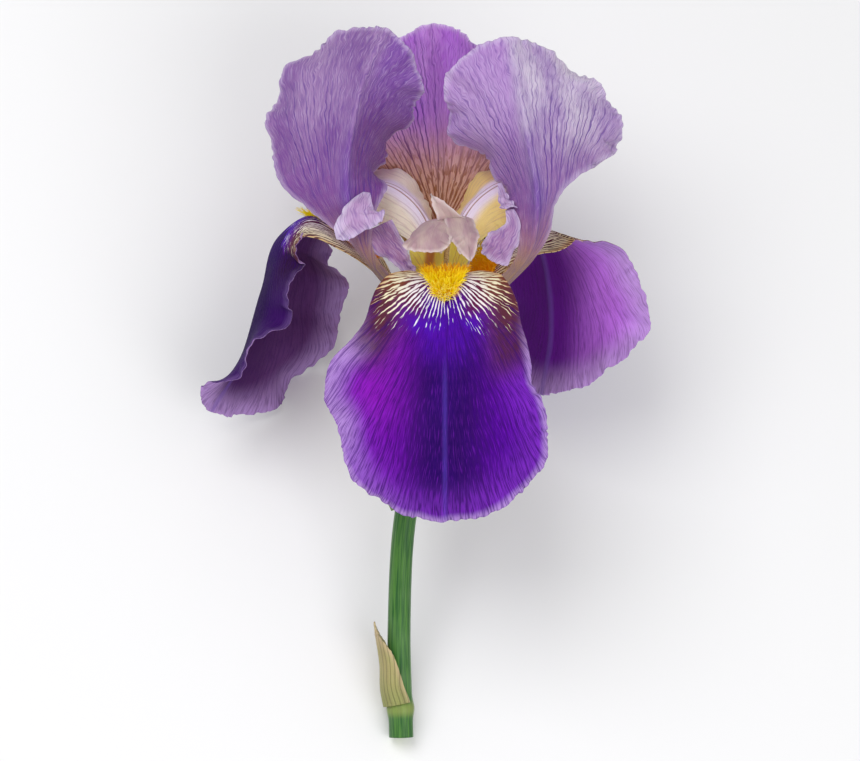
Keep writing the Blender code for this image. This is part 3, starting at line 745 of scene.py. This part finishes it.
def make_lobes():
    """Lobes of the side standards' lower margins that roll outwards beside the throat."""
    lilac = ((176, 140, 184), (208, 188, 218))
    mauve = ((158, 118, 164), (184, 152, 190))
    dusky = ((146, 104, 144), (168, 130, 164))
    lobes = (("left", "roll", lilac,
              ((14, -21.4, 22.6), (19, -23, 18.8), (20.5, -22.6, 15.4), (19.5, -20.8, 12.4)),
              ((0, 1, 1), (0.3, 3.4, 3), (0.6, 6.2, 5), (0.85, 9, 6.4))),
             ("left", "fold", dusky,
              ((13.6, -18.4, 13.4), (14.8, -16.2, 9.2), (14.6, -13, 5.6), (14.2, -10.6, 2.6),
               (14, -8.2, 0.6)),
              ((0, 4.4, 4.4), (0.35, 4.6, 4.6), (0.6, 3, 3), (0.8, 2, 2), (1, 0.3, 0.3))),
             ("right", "roll", mauve,
              ((13, 17.9, 18), (15, 18.8, 14), (15.5, 16.4, 8.6), (14.8, 12.8, 3.8)),
              ((0, 1.2, 1.2), (0.3, 2.4, 2.2), (0.6, 5, 3.6), (0.82, 5.2, 4))),
             ("right", "fold", lilac, ((5, 15.2, 25.6), (9.5, 16.4, 22), (14, 17.8, 18.2)),
              ((0, 0.5, 0.5), (0.5, 1.6, 1.2), (1, 2.6, 2.2))))
    bend = ((0, 0, 0, 0, 0, 0), (0.5, -14, -24, -14, -24, 0), (1, 8, 10, 8, 10, 0))
    for number, (side, kind, (dark, light), path, outline) in enumerate(lobes):
        lobe = Blade(0, path, outline, bend, tip_from=outline[-1][0], waves=(0.7, 3, number))
        finish = standard_finish("standard_lilac_" + side + "_" + kind, dark, light)
        piece = fine_blade("standard_" + side + "_" + kind, lobe, 60, 50, finish, -52.0, LOBE_THICKNESS,
                           0.4, 0.5, 5.0 + number, (0.0, 1.0))
        fit_piece(piece, "standard_" + side)


make_standards()


# Falls
# The three hanging petals: thick at the haft, then broad, velvety and waved. The haft is white to gold
# with brown veins that fork and close up into deep violet, the margin is pale, the underside muted.
FALL_CLAW = ((0, 1.6, 1.6), (0.10, 3.4, 3.4), (0.17, 7, 7))
FRONT_FALL_OUTLINE = (*FALL_CLAW, (0.25, 15, 15), (0.32, 19.5, 19), (0.42, 22.5, 21), (0.52, 31, 23.5),
                      (0.6, 33.5, 25.5), (0.72, 29, 29))
RIGHT_FALL_OUTLINE = (*FALL_CLAW, (0.25, 15, 15), (0.32, 19.5, 19), (0.42, 22, 21), (0.58, 28, 25),
                      (0.72, 33, 29))
LEFT_FALL_OUTLINE = (*FALL_CLAW, (0.25, 15, 13), (0.32, 19.5, 16), (0.42, 23, 18), (0.58, 29, 19),
                     (0.72, 33, 19))
FALL_THICKNESS = (0.22, 0.5, 0.8)


def fall_finish(name, fade_from, fade_to, shade_darkening):
    """Velvet skin: veined white and gold haft, deep violet body, pale margin and muted underside.

    The haft fades to violet between two distances from the veins' foot, in millimetres. The last value, 0 to
    1, is painted shade: it darkens the body and the underside towards black and dims the pale margin, for a
    fall that lies in shadow.
    """
    made, tree, shader = new_finish(name, 0.6, glow=0.08, shine=0.05)
    (across, _, rise), skin, x, edge, upper = read_blade(tree)
    forks = (9.0, 20.0, 36.0)
    distance, _, strength, grain, _ = add_veins(tree, 9.0, 1.1, forks, 0.4, -60.0)
    haft_distance, haft_room, haft_strength, _, stripes = add_veins(tree, 12.0, 1.1, forks, 0.4, -60.0, 0.3)
    from_rib, out, above = abs(x), abs(across), rise.at_least(0.0)
    radius = (x * x + above * above).reckon("SQRT")
    clouds = mottle(skin, 0.05, 3.0, (1.2, 0.6, 0.0))
    left = step_up(x, -3.0, -22.0)

    # The body is darkest beside the midrib, flushed magenta on its left and paler towards the margin.
    deep = blend(step_up(from_rib, 3.0, 20.0), (32, 0, 82), (98, 4, 172))
    deep = blend(step_up(clouds, 0.35, 0.7, 0.0, 0.6), deep, (50, 2, 116))
    heart = step_up(from_rib, 13.0, 3.0, 0.0, 0.75) * step_up(radius, fade_to + 11.0, fade_to - 2.0)
    deep = blend(heart, deep, (82, 10, 176))
    deep = blend(left * step_up(rise, 56.0, 40.0, 0.35, 0.75), deep, (150, 26, 184))
    deep = blend(step_up(edge, 14.0, 1.0, 0.0, 0.65), deep, (132, 54, 196))
    shoulder = step_up(out, 0.35, 0.7) * step_up(radius, fade_to + 17.0, fade_to + 7.0)
    deep = blend(shoulder, deep, (80, 34, 66))
    fan = step_up(distance, 0.38, 0.03) * step_up(strength, 0.3, 0.7, 0.1, 0.6)
    fan = fan.at_least(step_up(grain, 0.46, 0.7, 0.0, 0.7))
    deep = blend(step_up(grain, 0.48, 0.3, 0.0, 0.28), deep, (142, 40, 208))
    deep = blend(fan, deep, (36, 0, 82))
    streak = step_up(from_rib, 1.1, 0.1, 0.0, 0.3) * step_up(radius, fade_to, fade_to + 14.0)
    deep = blend(streak, deep, (96, 72, 196))
    broad = step_up(rise, 20.0, 30.0) * step_up(rise, 66.0, 46.0, 0.3, 1.0)
    broad = step_up(edge, 9.0, 1.0, 0.0, 0.8) * left * broad
    pale = step_up(edge, 2.8, 0.2, 0.0, 0.8).at_least(broad) * step_up(radius, fade_to, fade_to + 14.0)
    pale = pale * (1.0 - fan * 0.9)
    # Painted shade: for a fall in shadow, the body darkens towards near-black violet and the pale margin
    # fades.
    deep = blend(shade_darkening, deep, (26, 6, 48))
    deep = blend(pale * (1 - shade_darkening), deep, (182, 150, 210))
    deep = blend(fan * 0.45, deep, (70, 20, 118))

    # The haft's ground is white to gold. Its brown veins close up until they run into the body.
    ground = blend(step_up(out, 0.35, 0.85), (240, 234, 244), (238, 228, 194))
    ground = blend(step_up(out, 0.85, 1.0), ground, (214, 178, 128))
    ground = blend(step_up(rise, -4.0, -12.0), ground, (216, 190, 84))
    brown = blend(step_up(out, 0.15, 0.45), (72, 14, 150), (98, 30, 66))
    shoulder_brown = blend(step_up(radius, 14.0, 24.0), (132, 76, 44), (90, 42, 58))
    brown = blend(step_up(out, 0.5, 0.8), brown, shoulder_brown)
    late = step_up(radius, fade_from + 2.0, fade_to - 4.0)
    brown = blend(late * step_up(out, 0.8, 0.3), brown, (76, 14, 168))
    share = (stripes - 0.5) * 2.0 + haft_distance / haft_room
    reach = haft_strength * 12.0 + (radius - 3.0) + step_up(from_rib, 9.0, 1.0, 0.0, 6.0)
    reach = reach - step_up(out, 0.5, 0.9, 0.0, 1.0)
    cover = step_up(reach, fade_from, fade_to + 8.0, 0.5, 1.4) - step_up(out, 0.35, 0.7, 0.0, 0.14)
    bare = step_up(share - cover, -0.16, 0.12)
    face = blend(step_up(reach, fade_to, fade_to + 4.0), blend(bare, brown, ground), deep)
    bed = step_up(from_rib, 5.0, 3.0) * step_up(rise, fade_from - 3.0, fade_from - 6.0)
    face = blend(bed, face, (240, 168, 8))

    # The underside is muted, and shows the haft's veins in olive. Its right half, from just left of the
    # midrib outwards, is painted darker as shade; towards the left margin it is paler.
    # Painted shade: the underside's right half is dark violet, its left half a paler lilac.
    below = blend(left, (100, 24, 142), (196, 118, 232))
    below = blend(step_up(clouds, 0.35, 0.7, 0.0, 0.4), below, (96, 38, 130))
    # Painted shade darkens the underside of a shadowed fall as well.
    below = blend(shade_darkening, below, (66, 38, 72))
    below = blend(step_up(edge, 11.0, 0.3, 0.0, 0.85), below, (188, 152, 214))
    below = blend(fan * 0.6, below, (56, 14, 84))
    below = blend(step_up(from_rib, 1.5, 0.4, 0.0, 0.4), below, (118, 88, 178))
    olive = blend(bare, (122, 84, 52), (204, 188, 128))
    below = blend(step_up(reach, fade_to - 4.0, fade_from), below, olive)
    nap = mottle(skin, 2.4, 3.0, (1.6, 0.5, 0.0))
    ribs = step_up(share, 0.7, 0.1) * step_up(strength, 0.3, 0.7)
    dress(shader, blend(upper, below, face), nap * 0.7 - ribs * 0.5, 0.00014,
          step_up(nap, 0.2, 0.8, 0.52, 0.7))
    return made


FALLS = {
    "front": Blade(0, ((CLAW_RADIUS, 0, CLAW_FOOT), (9.5, 0, -6), (15, 0, -0.8), (21, 0, -3.4),
                       (28, 0, -11.5), (36, 0, -27), (41, 0, -44), (40, 0, -60), (36, 0, -67)),
                   FRONT_FALL_OUTLINE,
                   ((0, 0, 0, 0, 0, 0), (0.18, 10, 6, 10, 6, 0), (0.3, 14, 10, 14, 10, 0),
                    (0.55, 4, -22, 4, -30, 0), (0.8, 0, -20, 0, -26, 0), (1, 0, -10, 0, -14, 0)),
                   tip_from=0.72, waves=(1.8, 6, 0.6)),
    "right": Blade(131, ((CLAW_RADIUS, 0, CLAW_FOOT), (12, 0, -4), (21, 0, 9), (29.5, 0, 15), (36, 0, 9),
                         (40, 0, -4), (40, 0, -19), (36, 0, -33)),
                   RIGHT_FALL_OUTLINE,
                   ((0, 0, 0, 0, 0, 0), (0.2, 6, 0, 6, 0, 0), (0.38, -9, -24, -8, -20, 0),
                    (0.55, 2, 8, 0, 0, 0), (0.8, 5, 15, 5, 10, 0), (1, 0, 10, 0, 10, 0)),
                   tip_from=0.72, waves=(2.2, 5, 2.0)),
    "left": Blade(-100, ((CLAW_RADIUS, 0, CLAW_FOOT), (13, 0, -5), (25, 0, 9), (38, 0, 17), (47, 0, 11),
                         (52, 0, -4), (57, 0, -21), (66, 0, -38)),
                  LEFT_FALL_OUTLINE,
                  ((0, 0, 0, 0, 0, 0), (0.2, 6, 0, -6, 0, 0), (0.38, -6, -22, -12, -24, 0),
                   (0.6, -12, -40, -32, -60, 8), (0.85, 0, -10, -30, -20, 22), (1, 0, 0, 0, 0, 28)),
                  tip_from=0.72, waves=(3.0, 6, 1.0))}


def make_falls():
    """The left fall turns its inner face away from the light; its colours are painted darker as shade."""
    for number, (side, foot, fade_from, fade_to, shade_darkening) in enumerate((
            ("front", 18.0, 15.0, 26.0, 0.0), ("right", 14.0, 28.0, 44.0, 0.0),
            ("left", 14.0, 30.0, 46.0, 0.8))):
        finish = fall_finish("fall_violet_" + side, fade_from, fade_to, shade_darkening)
        piece = fine_blade("fall_" + side + "_petal", FALLS[side], 180, 130, finish, foot, FALL_THICKNESS,
                           0.45, 0.7, 2.0 + 1.7 * number)
        fit_piece(piece, "fall_" + side)


make_falls()


# Beards
# A dense strip of soft fleshy hairs down the middle of each haft, orange at the back, yellow in front
# and pale at the tips. Each hair is rooted in the haft and leans forwards and out to its own side.
HAIR_VALUES = {"Hairs per square metre": 6e6, "Hair length": 0.0036, "Hair radius": 0.00015, "Seed": 7}


def beard_finish():
    """Hair colour from the foot of the beard to its front, and from root to tip."""
    made, tree, shader = new_finish("beard_gold", 0.5, shine=0.15)
    tip = carried(tree, "tip", "Fac")
    spot = carried(tree, "spot", "Fac")
    place = object_place(tree)
    colour = blend(step_up(spot, 0.1, 0.6), (252, 160, 0), (255, 236, 8))
    colour = blend(step_up(mottle(place, 700.0), 0.4, 0.65, 0.0, 0.5), colour, (255, 206, 4))
    frost = step_up(tip, 0.45, 1.0) * step_up(spot, 0.6, 1.0, 0.05, 0.7)
    colour = blend(frost, colour, (250, 236, 170))
    # Painted light: a faint emission of the hair colour makes the dense hairs glow brighter than the lamps
    # alone would light them.
    feed(tree, shader, {"Emission Color": colour, "Emission Strength": 0.06})
    dress(shader, colour, mottle(place, 4000.0), 0.00002)
    return made


def hair_tree():
    """Geometry nodes that plant curved tapering hairs on a strip along its lean attribute."""
    tree = bpy.data.node_groups.new("beard_hairs", "GeometryNodeTree")
    tree.interface.new_socket("Geometry", in_out="INPUT", socket_type="NodeSocketGeometry")
    for name, kind in (("Hairs per square metre", "Float"), ("Hair length", "Float"),
                       ("Hair radius", "Float"), ("Seed", "Int"), ("Finish", "Material")):
        tree.interface.new_socket(name, in_out="INPUT", socket_type="NodeSocket" + kind)
    tree.interface.new_socket("Geometry", in_out="OUTPUT", socket_type="NodeSocketGeometry")
    given = {socket.name: Wire(tree, socket) for socket in tree.nodes.new("NodeGroupInput").outputs}

    # One hair is a bent line, thick at the root, that carries how far along it a point is.
    along = put(tree, "GeometryNodeSplineParameter", out="Factor")
    hair = put(tree, "GeometryNodeCurveQuadraticBezier", {
        "Resolution": 5, "Start": (0, 0, 0), "Middle": (0, 0, 0.6), "End": (0.28, 0, 1.0)})
    size = put(tree, "ShaderNodeCombineXYZ", dict.fromkeys("XYZ", given["Hair length"]))
    hair = put(tree, "GeometryNodeTransform", {"Geometry": hair, "Scale": size})
    hair = put(tree, "GeometryNodeStoreNamedAttribute", {"Geometry": hair, "Name": "tip", "Value": along},
               data_type="FLOAT", domain="POINT")
    ring = put(tree, "GeometryNodeCurvePrimitiveCircle", {"Resolution": 4, "Radius": 1.0})
    taper = put(tree, "ShaderNodeMapRange", {"Value": along, "To Min": 1.0, "To Max": 0.45})
    hair = put(tree, "GeometryNodeCurveToMesh", {
        "Curve": hair, "Profile Curve": ring, "Scale": taper * given["Hair radius"], "Fill Caps": True})

    # Each hair leans its own way and is turned and lengthened at random.
    roots = put(tree, "GeometryNodeDistributePointsOnFaces", {
        "Mesh": given["Geometry"], "Density": given["Hairs per square metre"], "Seed": given["Seed"]})
    lean = put(tree, "GeometryNodeInputNamedAttribute", {"Name": "lean"}, data_type="FLOAT_VECTOR")
    crown = put(tree, "GeometryNodeInputNamedAttribute", {"Name": "crown"}, data_type="FLOAT")
    stray = put(tree, "FunctionNodeRandomValue", {
        0: (-0.3, -0.3, -0.3), 1: (0.3, 0.3, 0.3), "Seed": given["Seed"]}, data_type="FLOAT_VECTOR")
    toward = put(tree, "ShaderNodeVectorMath", {0: lean, 1: stray}, operation="ADD")
    roll = put(tree, "FunctionNodeRandomValue", {0: (0, 0, 0), 1: (0, 0, 6.28)}, data_type="FLOAT_VECTOR")
    turn = put(tree, "FunctionNodeAlignRotationToVector", {
        "Rotation": put(tree, "FunctionNodeEulerToRotation", {0: roll}), "Vector": toward}, axis="Z")
    vary = put(tree, "FunctionNodeRandomValue", {2: 0.7, 3: 1.15}, out=1, data_type="FLOAT")
    hairs = put(tree, "GeometryNodeInstanceOnPoints", {
        "Points": roots, "Instance": hair, "Rotation": turn, "Scale": vary * crown})
    hairs = put(tree, "GeometryNodeRealizeInstances", {"Geometry": hairs})
    hairs = put(tree, "GeometryNodeSetMaterial", {"Geometry": hairs, "Material": given["Finish"]})
    feed(tree, tree.nodes.new("NodeGroupOutput"), {"Geometry": hairs})
    return tree


def make_beard(side, start, end, half_width, finish, tree):
    """Plant one beard on the upper skin of its fall, wide at the back and narrow in front."""
    blade = FALLS[side]
    rows, columns = 24, 10
    along, across = np.meshgrid(np.linspace(start, end, rows + 1), np.linspace(-1, 1, columns + 1),
                                indexing="ij")
    share = (along - start) / (end - start)
    width = half_width * np.sqrt(np.clip(1.02 - share ** 3, 0, 1)) * (1 - 0.35 * share)
    x, y = across * width, along * blade.length
    middle = blade.place(x, y, 0 * x)
    normal = grid_normals(middle)
    forward = np.gradient(middle, axis=0)
    forward /= np.linalg.norm(forward, axis=-1, keepdims=True)
    sideways = np.gradient(middle, axis=1)
    sideways /= np.linalg.norm(sideways, axis=-1, keepdims=True)
    lean = normal + forward * (0.1 + 0.9 * share[..., None] ** 2) + sideways * across[..., None] * 1.3
    lean = lean.reshape(-1, 3) @ LIE_MATRIX.T
    crown = (0.85 + 0.2 * np.cos(across * 1.3)) * np.clip(0.5 + 2 * share, 0, 1)
    strip = grow_piece("beard_strip", (middle + 0.1 * normal).reshape(-1, 3), grid_faces(rows, columns),
                       finish, {"lean": lean, "spot": share.ravel(), "crown": crown.ravel()})
    hairs = strip.modifiers.new("hairs", "NODES")
    hairs.node_group = tree
    names = {item.name: item.identifier for item in tree.interface.items_tree if item.in_out == "INPUT"}
    for name, value in (*HAIR_VALUES.items(), ("Finish", finish)):
        hairs[names[name]] = value
    mesh = bpy.data.meshes.new_from_object(strip.evaluated_get(bpy.context.evaluated_depsgraph_get()))
    mesh.name = "beard_" + side + "_hairs"
    piece = bpy.data.objects.new(mesh.name, mesh)
    bpy.context.scene.collection.objects.link(piece)
    bpy.data.objects.remove(strip, do_unlink=True)
    mesh.shade_smooth()
    fit_piece(piece, "beard_" + side)


def make_beards():
    """One finish and one tree of nodes serve all three."""
    finish, tree = beard_finish(), hair_tree()
    for side, start, end, half_width in (("front", 0.15, 0.32, 5.8), ("right", 0.13, 0.43, 4.8),
                                         ("left", 0.22, 0.43, 4.8)):
        make_beard(side, start, end, half_width, finish, tree)


make_beards()


# Style arms
# Three waxy petal-like arms that arch over the beards, cream flushed with pink and yellow. The side
# arms end in a notched crest. The front arm's crest is three thin lobes that curl over its beard.
STYLE_OUTLINE = ((0, 1.2, 1.2), (0.25, 3, 3), (0.45, 8, 8), (0.75, 12.5, 12.5))
FRONT_STYLE_OUTLINE = ((0, 1.2, 1.2), (0.2, 3.6, 3), (0.32, 8.4, 5), (0.45, 11, 7.5), (0.75, 9.5, 7.5))
STYLE_THICKNESS = (0.2, 0.55, 0.7)
CREST_THICKNESS = (0.18, 0.4, 0.1)


def style_finish(name, crest_from, flank):
    """Waxy cream with a lilac band, flushed mauve over the crest that starts some way from the foot."""
    made, tree, shader = new_finish(name, 0.42, glow=0.4, coat=0.1)
    (_, _, rise), skin, x, edge, upper = read_blade(tree)
    distance, _, strength, grain, _ = add_veins(tree, 10.0, 1.1, (9.0, 18.0, 60.0), 0.6)
    from_rib = abs(x)
    clouds = mottle(skin, 0.12, 3.0, (1.4, 0.6, 0.0))
    crest = step_up(rise, crest_from, crest_from + 10.0)
    arm = blend(step_up(from_rib, 2.0, 5.5), (238, 224, 240), flank)
    arm = blend(step_up(abs(from_rib - 0.7), 0.3, 0.1, 0.0, 0.8), arm, (150, 100, 70))
    lobe = blend(step_up(clouds, 0.35, 0.65), (190, 168, 162), (162, 128, 142))
    throat = blend(step_up(abs(x + 4.6), 2.2, 0.6), (255, 238, 112), (206, 142, 70))
    colour = blend(upper, blend(crest, throat, lobe), blend(crest, arm, lobe))
    line = step_up(distance, 0.25, 0.03) * step_up(strength, 0.4, 0.65, 0.05, 0.3)
    colour = blend(line, colour, (164, 116, 140))
    colour = blend(step_up(grain, 0.5, 0.7, 0.0, 0.2), colour, (160, 124, 130))
    colour = blend(step_up(edge, 1.2, 0.0, 0.0, 0.6) * crest, colour, (226, 208, 206))
    dress(shader, colour, mottle(skin, 1.5, 3.0, (2.0, 0.4, 0.0)) - line, 0.0002)
    return made


def make_styles():
    """The front arm bends low over its beard; the other two reach up and out."""
    low = ((1.9, 0, CLAW_FOOT), (2.6, 0, -3), (6, 0.5, 9), (12, 1.5, 15), (19, 2, 13), (23, 2, 5))
    high = ((1.9, 0, CLAW_FOOT), (2.3, 0, 0), (4, 0, 13), (9.5, 0, 21), (17, 0, 25.5), (27, 0, 26))
    drape = ((0, 0, 0, 0, 0, 0), (0.3, -10, -20, -6, -10, 0), (0.6, -36, -30, -10, -10, 0),
             (1, -14, -20, 34, 24, 0))
    other = tuple((row[0], *row[3:5], *row[1:3], -row[5]) for row in drape)
    crest = ((0, 0, 0, 0, 0, 0), (0.3, -10, -20, -10, -20, 0), (0.6, -12, -30, -12, -30, 0),
             (1, -5, -30, -5, -30, 0))
    front = style_finish("style_cream_front", 26.0, (240, 214, 132))
    right = style_finish("style_cream_right", 40.0, (240, 212, 134))
    left = style_finish("style_cream_left", 40.0, (250, 234, 214))
    for side, azimuth, path, outline, bend, finish in (
            ("front", 0, low, FRONT_STYLE_OUTLINE, crest, front),
            ("right", 117, high, STYLE_OUTLINE, drape, right),
            ("left", -116, high, STYLE_OUTLINE, other, left)):
        blade = Blade(azimuth, path, outline, bend, tip_from=0.75, notch=0.5)
        piece = fine_blade("style_arm_" + side + "_petal", blade, 90, 80, finish, 6.0, STYLE_THICKNESS,
                           0.35, 0.5, 3.0 + azimuth)
        fit_piece(piece, "style_arm_" + side)
    make_crest(front)


def make_crest(finish):
    """The front arm's crest: a broad lobe, a narrow drooping one and the curled-up tip between them."""
    lobes = (("broad", ((11, 0, 14.8), (15.5, -2, 15.2), (20, -4, 12.8), (23.2, -4.8, 9.2), (24.2, -5, 5.8)),
              ((0, 2, 3), (0.3, 4.4, 6), (0.6, 7.2, 7.2), (0.78, 7.6, 6.6)),
              ((0, 0, 0, 0, 0, 0), (0.5, -14, -50, -8, -30, 0), (1, -6, -20, -4, -10, 0))),
             ("narrow", ((11, 2.5, 15.6), (16, 4, 16), (20.3, 5.4, 12.5), (22.8, 6.4, 8), (23.2, 7, 3.4)),
              ((0, 3, 3), (0.35, 4.6, 4), (0.65, 4.4, 3.8), (0.88, 2, 1.8), (1, 0.3, 0.3)),
              ((0, 0, 0, 0, 0, 0), (0.5, -8, -24, -14, -30, 0), (1, -8, -20, -10, -20, 0))),
             ("tip", ((15, 1.5, 14), (17, 0, 16.8), (17.5, -2.2, 19.5), (17, -3.8, 22.2)),
              ((0, 3.5, 5), (0.4, 2.4, 3), (0.75, 1.1, 1.2), (1, 0.15, 0.15)),
              ((0, 0, 0, 0, 0, 0), (0.5, -20, -20, -20, -20, 0), (1, -10, 0, -10, 0, 0))))
    for number, (kind, path, outline, bend) in enumerate(lobes):
        lobe = Blade(0, path, outline, bend, tip_from=outline[-1][0])
        piece = fine_blade("style_arm_front_" + kind + "_lobe", lobe, 60, 50, finish, -50.0,
                           CREST_THICKNESS, 0.3, 0.3, 6.0 + number)
        fit_piece(piece, "style_arm_front")


make_styles()


# Stamens
# One under each style arm: a stiff pale filament with a long anther of two pollen sacs, dusted cream.
# Each springs from the foot of its fall's claw.
SIDE_STAMEN_PATH = ((4.1, 0, CLAW_FOOT), (6.4, 0, -2), (10, 0, 9), (17.5, 0, 18))
STAMEN_PATHS = {"front": (0, ((4.1, 0.4, CLAW_FOOT), (5.9, 0.4, -3), (9.5, 0.6, 6), (16, 1, 9))),
                "right": (124, SIDE_STAMEN_PATH), "left": (-108, SIDE_STAMEN_PATH)}
STAMEN_RINGS = 90
STAMEN_SIDES = 24


def stamen_finish():
    """Waxy white filament that turns to grainy cream pollen sacs."""
    made, tree, shader = new_finish("stamen_cream", 0.6, glow=0.2)
    _, _, height = split(carried(tree, "ring"))
    grains = mottle(object_place(tree), 2600.0, 2.0)
    pollen = blend(step_up(grains, 0.4, 0.65), (226, 208, 150), (186, 158, 96))
    stalk = blend(height, (228, 222, 196), (206, 190, 214))
    sac = step_up(height, 0.6, 0.66)
    dress(shader, blend(sac, stalk, pollen), grains * sac, 0.0001)
    return made


def make_stamens():
    """The anther takes the last third and is grooved along both faces."""
    finish = stamen_finish()
    share = np.linspace(0, 1, STAMEN_RINGS)[:, None]
    anther = np.clip((share - 0.62) / 0.06, 0, 1)
    radii = 0.5 + 0.4 * anther - 0.5 * np.clip((share - 0.93) / 0.07, 0, 1) ** 2
    grooved = 1 + 0.16 * np.cos(2 * turns_round(STAMEN_SIDES))[None, :] * anther
    for side, (azimuth, path) in STAMEN_PATHS.items():
        rib, marks = even_curve(path)
        line = np.stack([np.interp(share[:, 0] * marks[-1], marks, rib[:, k]) for k in range(3)], axis=1)
        azimuth = math.radians(azimuth)
        piece = turned_piece("stamen_" + side + "_skin", to_flower(line, azimuth), radii * grooved, finish,
                             across=(math.cos(azimuth), math.sin(azimuth), 0.0))
        fit_piece(piece, "stamen_" + side)


make_stamens()


# Camera, floor and light
# The camera looks down on the lying flower along the way that the bloom faces; the flower's own axis
# stands upright in the picture. The floor is plain and pale under soft studio light.
FLOWER_X, FLOWER_Y, FLOWER_Z = (Vector(LIE_MATRIX[:, k]) for k in range(3))
CAMERA_AIM = Vector(laid_down((-4.0, -4.0, -29.0)).tolist())
CAMERA_DISTANCE = 1.25
PICTURE_WIDTH = 0.238
SENSOR_WIDTH = 36.0
LAMP_DISTANCE = 0.9
SKY_STRENGTH = 0.52
FLOOR_REACH = 3


def look_from(name, data, place, aim, up):
    """Place a camera or lamp that looks at a point, with its own upward way."""
    made = bpy.data.objects.new(name, data)
    back = (place - aim).normalized()
    right = up.cross(back).normalized()
    turn = Matrix((right, back.cross(right), back)).transposed().to_4x4()
    made.matrix_world = Matrix.Translation(place) @ turn
    bpy.context.scene.collection.objects.link(made)
    return made


def make_studio():
    """A long lens, one large lamp above the standards, one fill and a pale world."""
    camera = bpy.data.cameras.new("camera")
    camera.sensor_width = SENSOR_WIDTH
    camera.lens = SENSOR_WIDTH * CAMERA_DISTANCE / PICTURE_WIDTH
    camera.clip_start = 0.05
    eye = CAMERA_AIM - FLOWER_Y * CAMERA_DISTANCE
    bpy.context.scene.camera = look_from("camera", camera, eye, CAMERA_AIM, FLOWER_Z)
    for name, power, size, way in (("key", 4.2, 0.6, FLOWER_Z * 0.6 - FLOWER_Y - FLOWER_X * 0.4),
                                   ("fill", 3.4, 0.7, FLOWER_X * 0.55 - FLOWER_Y - FLOWER_Z * 0.4)):
        lamp = bpy.data.lights.new(name, "AREA")
        lamp.energy = power
        lamp.size = size
        place = CAMERA_AIM + way.normalized() * LAMP_DISTANCE
        look_from(name, lamp, place, CAMERA_AIM, Vector((0.0, 1.0, 0.0)))
    world = bpy.data.worlds.new("studio")
    world.use_nodes = True
    feed(world.node_tree, world.node_tree.nodes["Background"],
         {"Color": (1.0, 1.0, 1.0, 1.0), "Strength": SKY_STRENGTH})
    bpy.context.scene.world = world
    bpy.context.scene.view_settings.view_transform = "Standard"
    floor = bpy.data.meshes.new("floor")
    corners = ((-1, -1), (1, -1), (1, 1), (-1, 1))
    floor.from_pydata([(FLOOR_REACH * x, FLOOR_REACH * y, 0) for x, y in corners], [], [(0, 1, 2, 3)])
    finish, tree, shader = new_finish("floor_pale", 0.6)
    cloud = mottle(object_place(tree), 3.0, 2.0)
    dress(shader, blend(cloud, (236, 236, 237), (241, 241, 242)))
    floor.materials.append(finish)
    ground = bpy.data.objects.new("floor", floor)
    bpy.context.scene.collection.objects.link(ground)


make_studio()
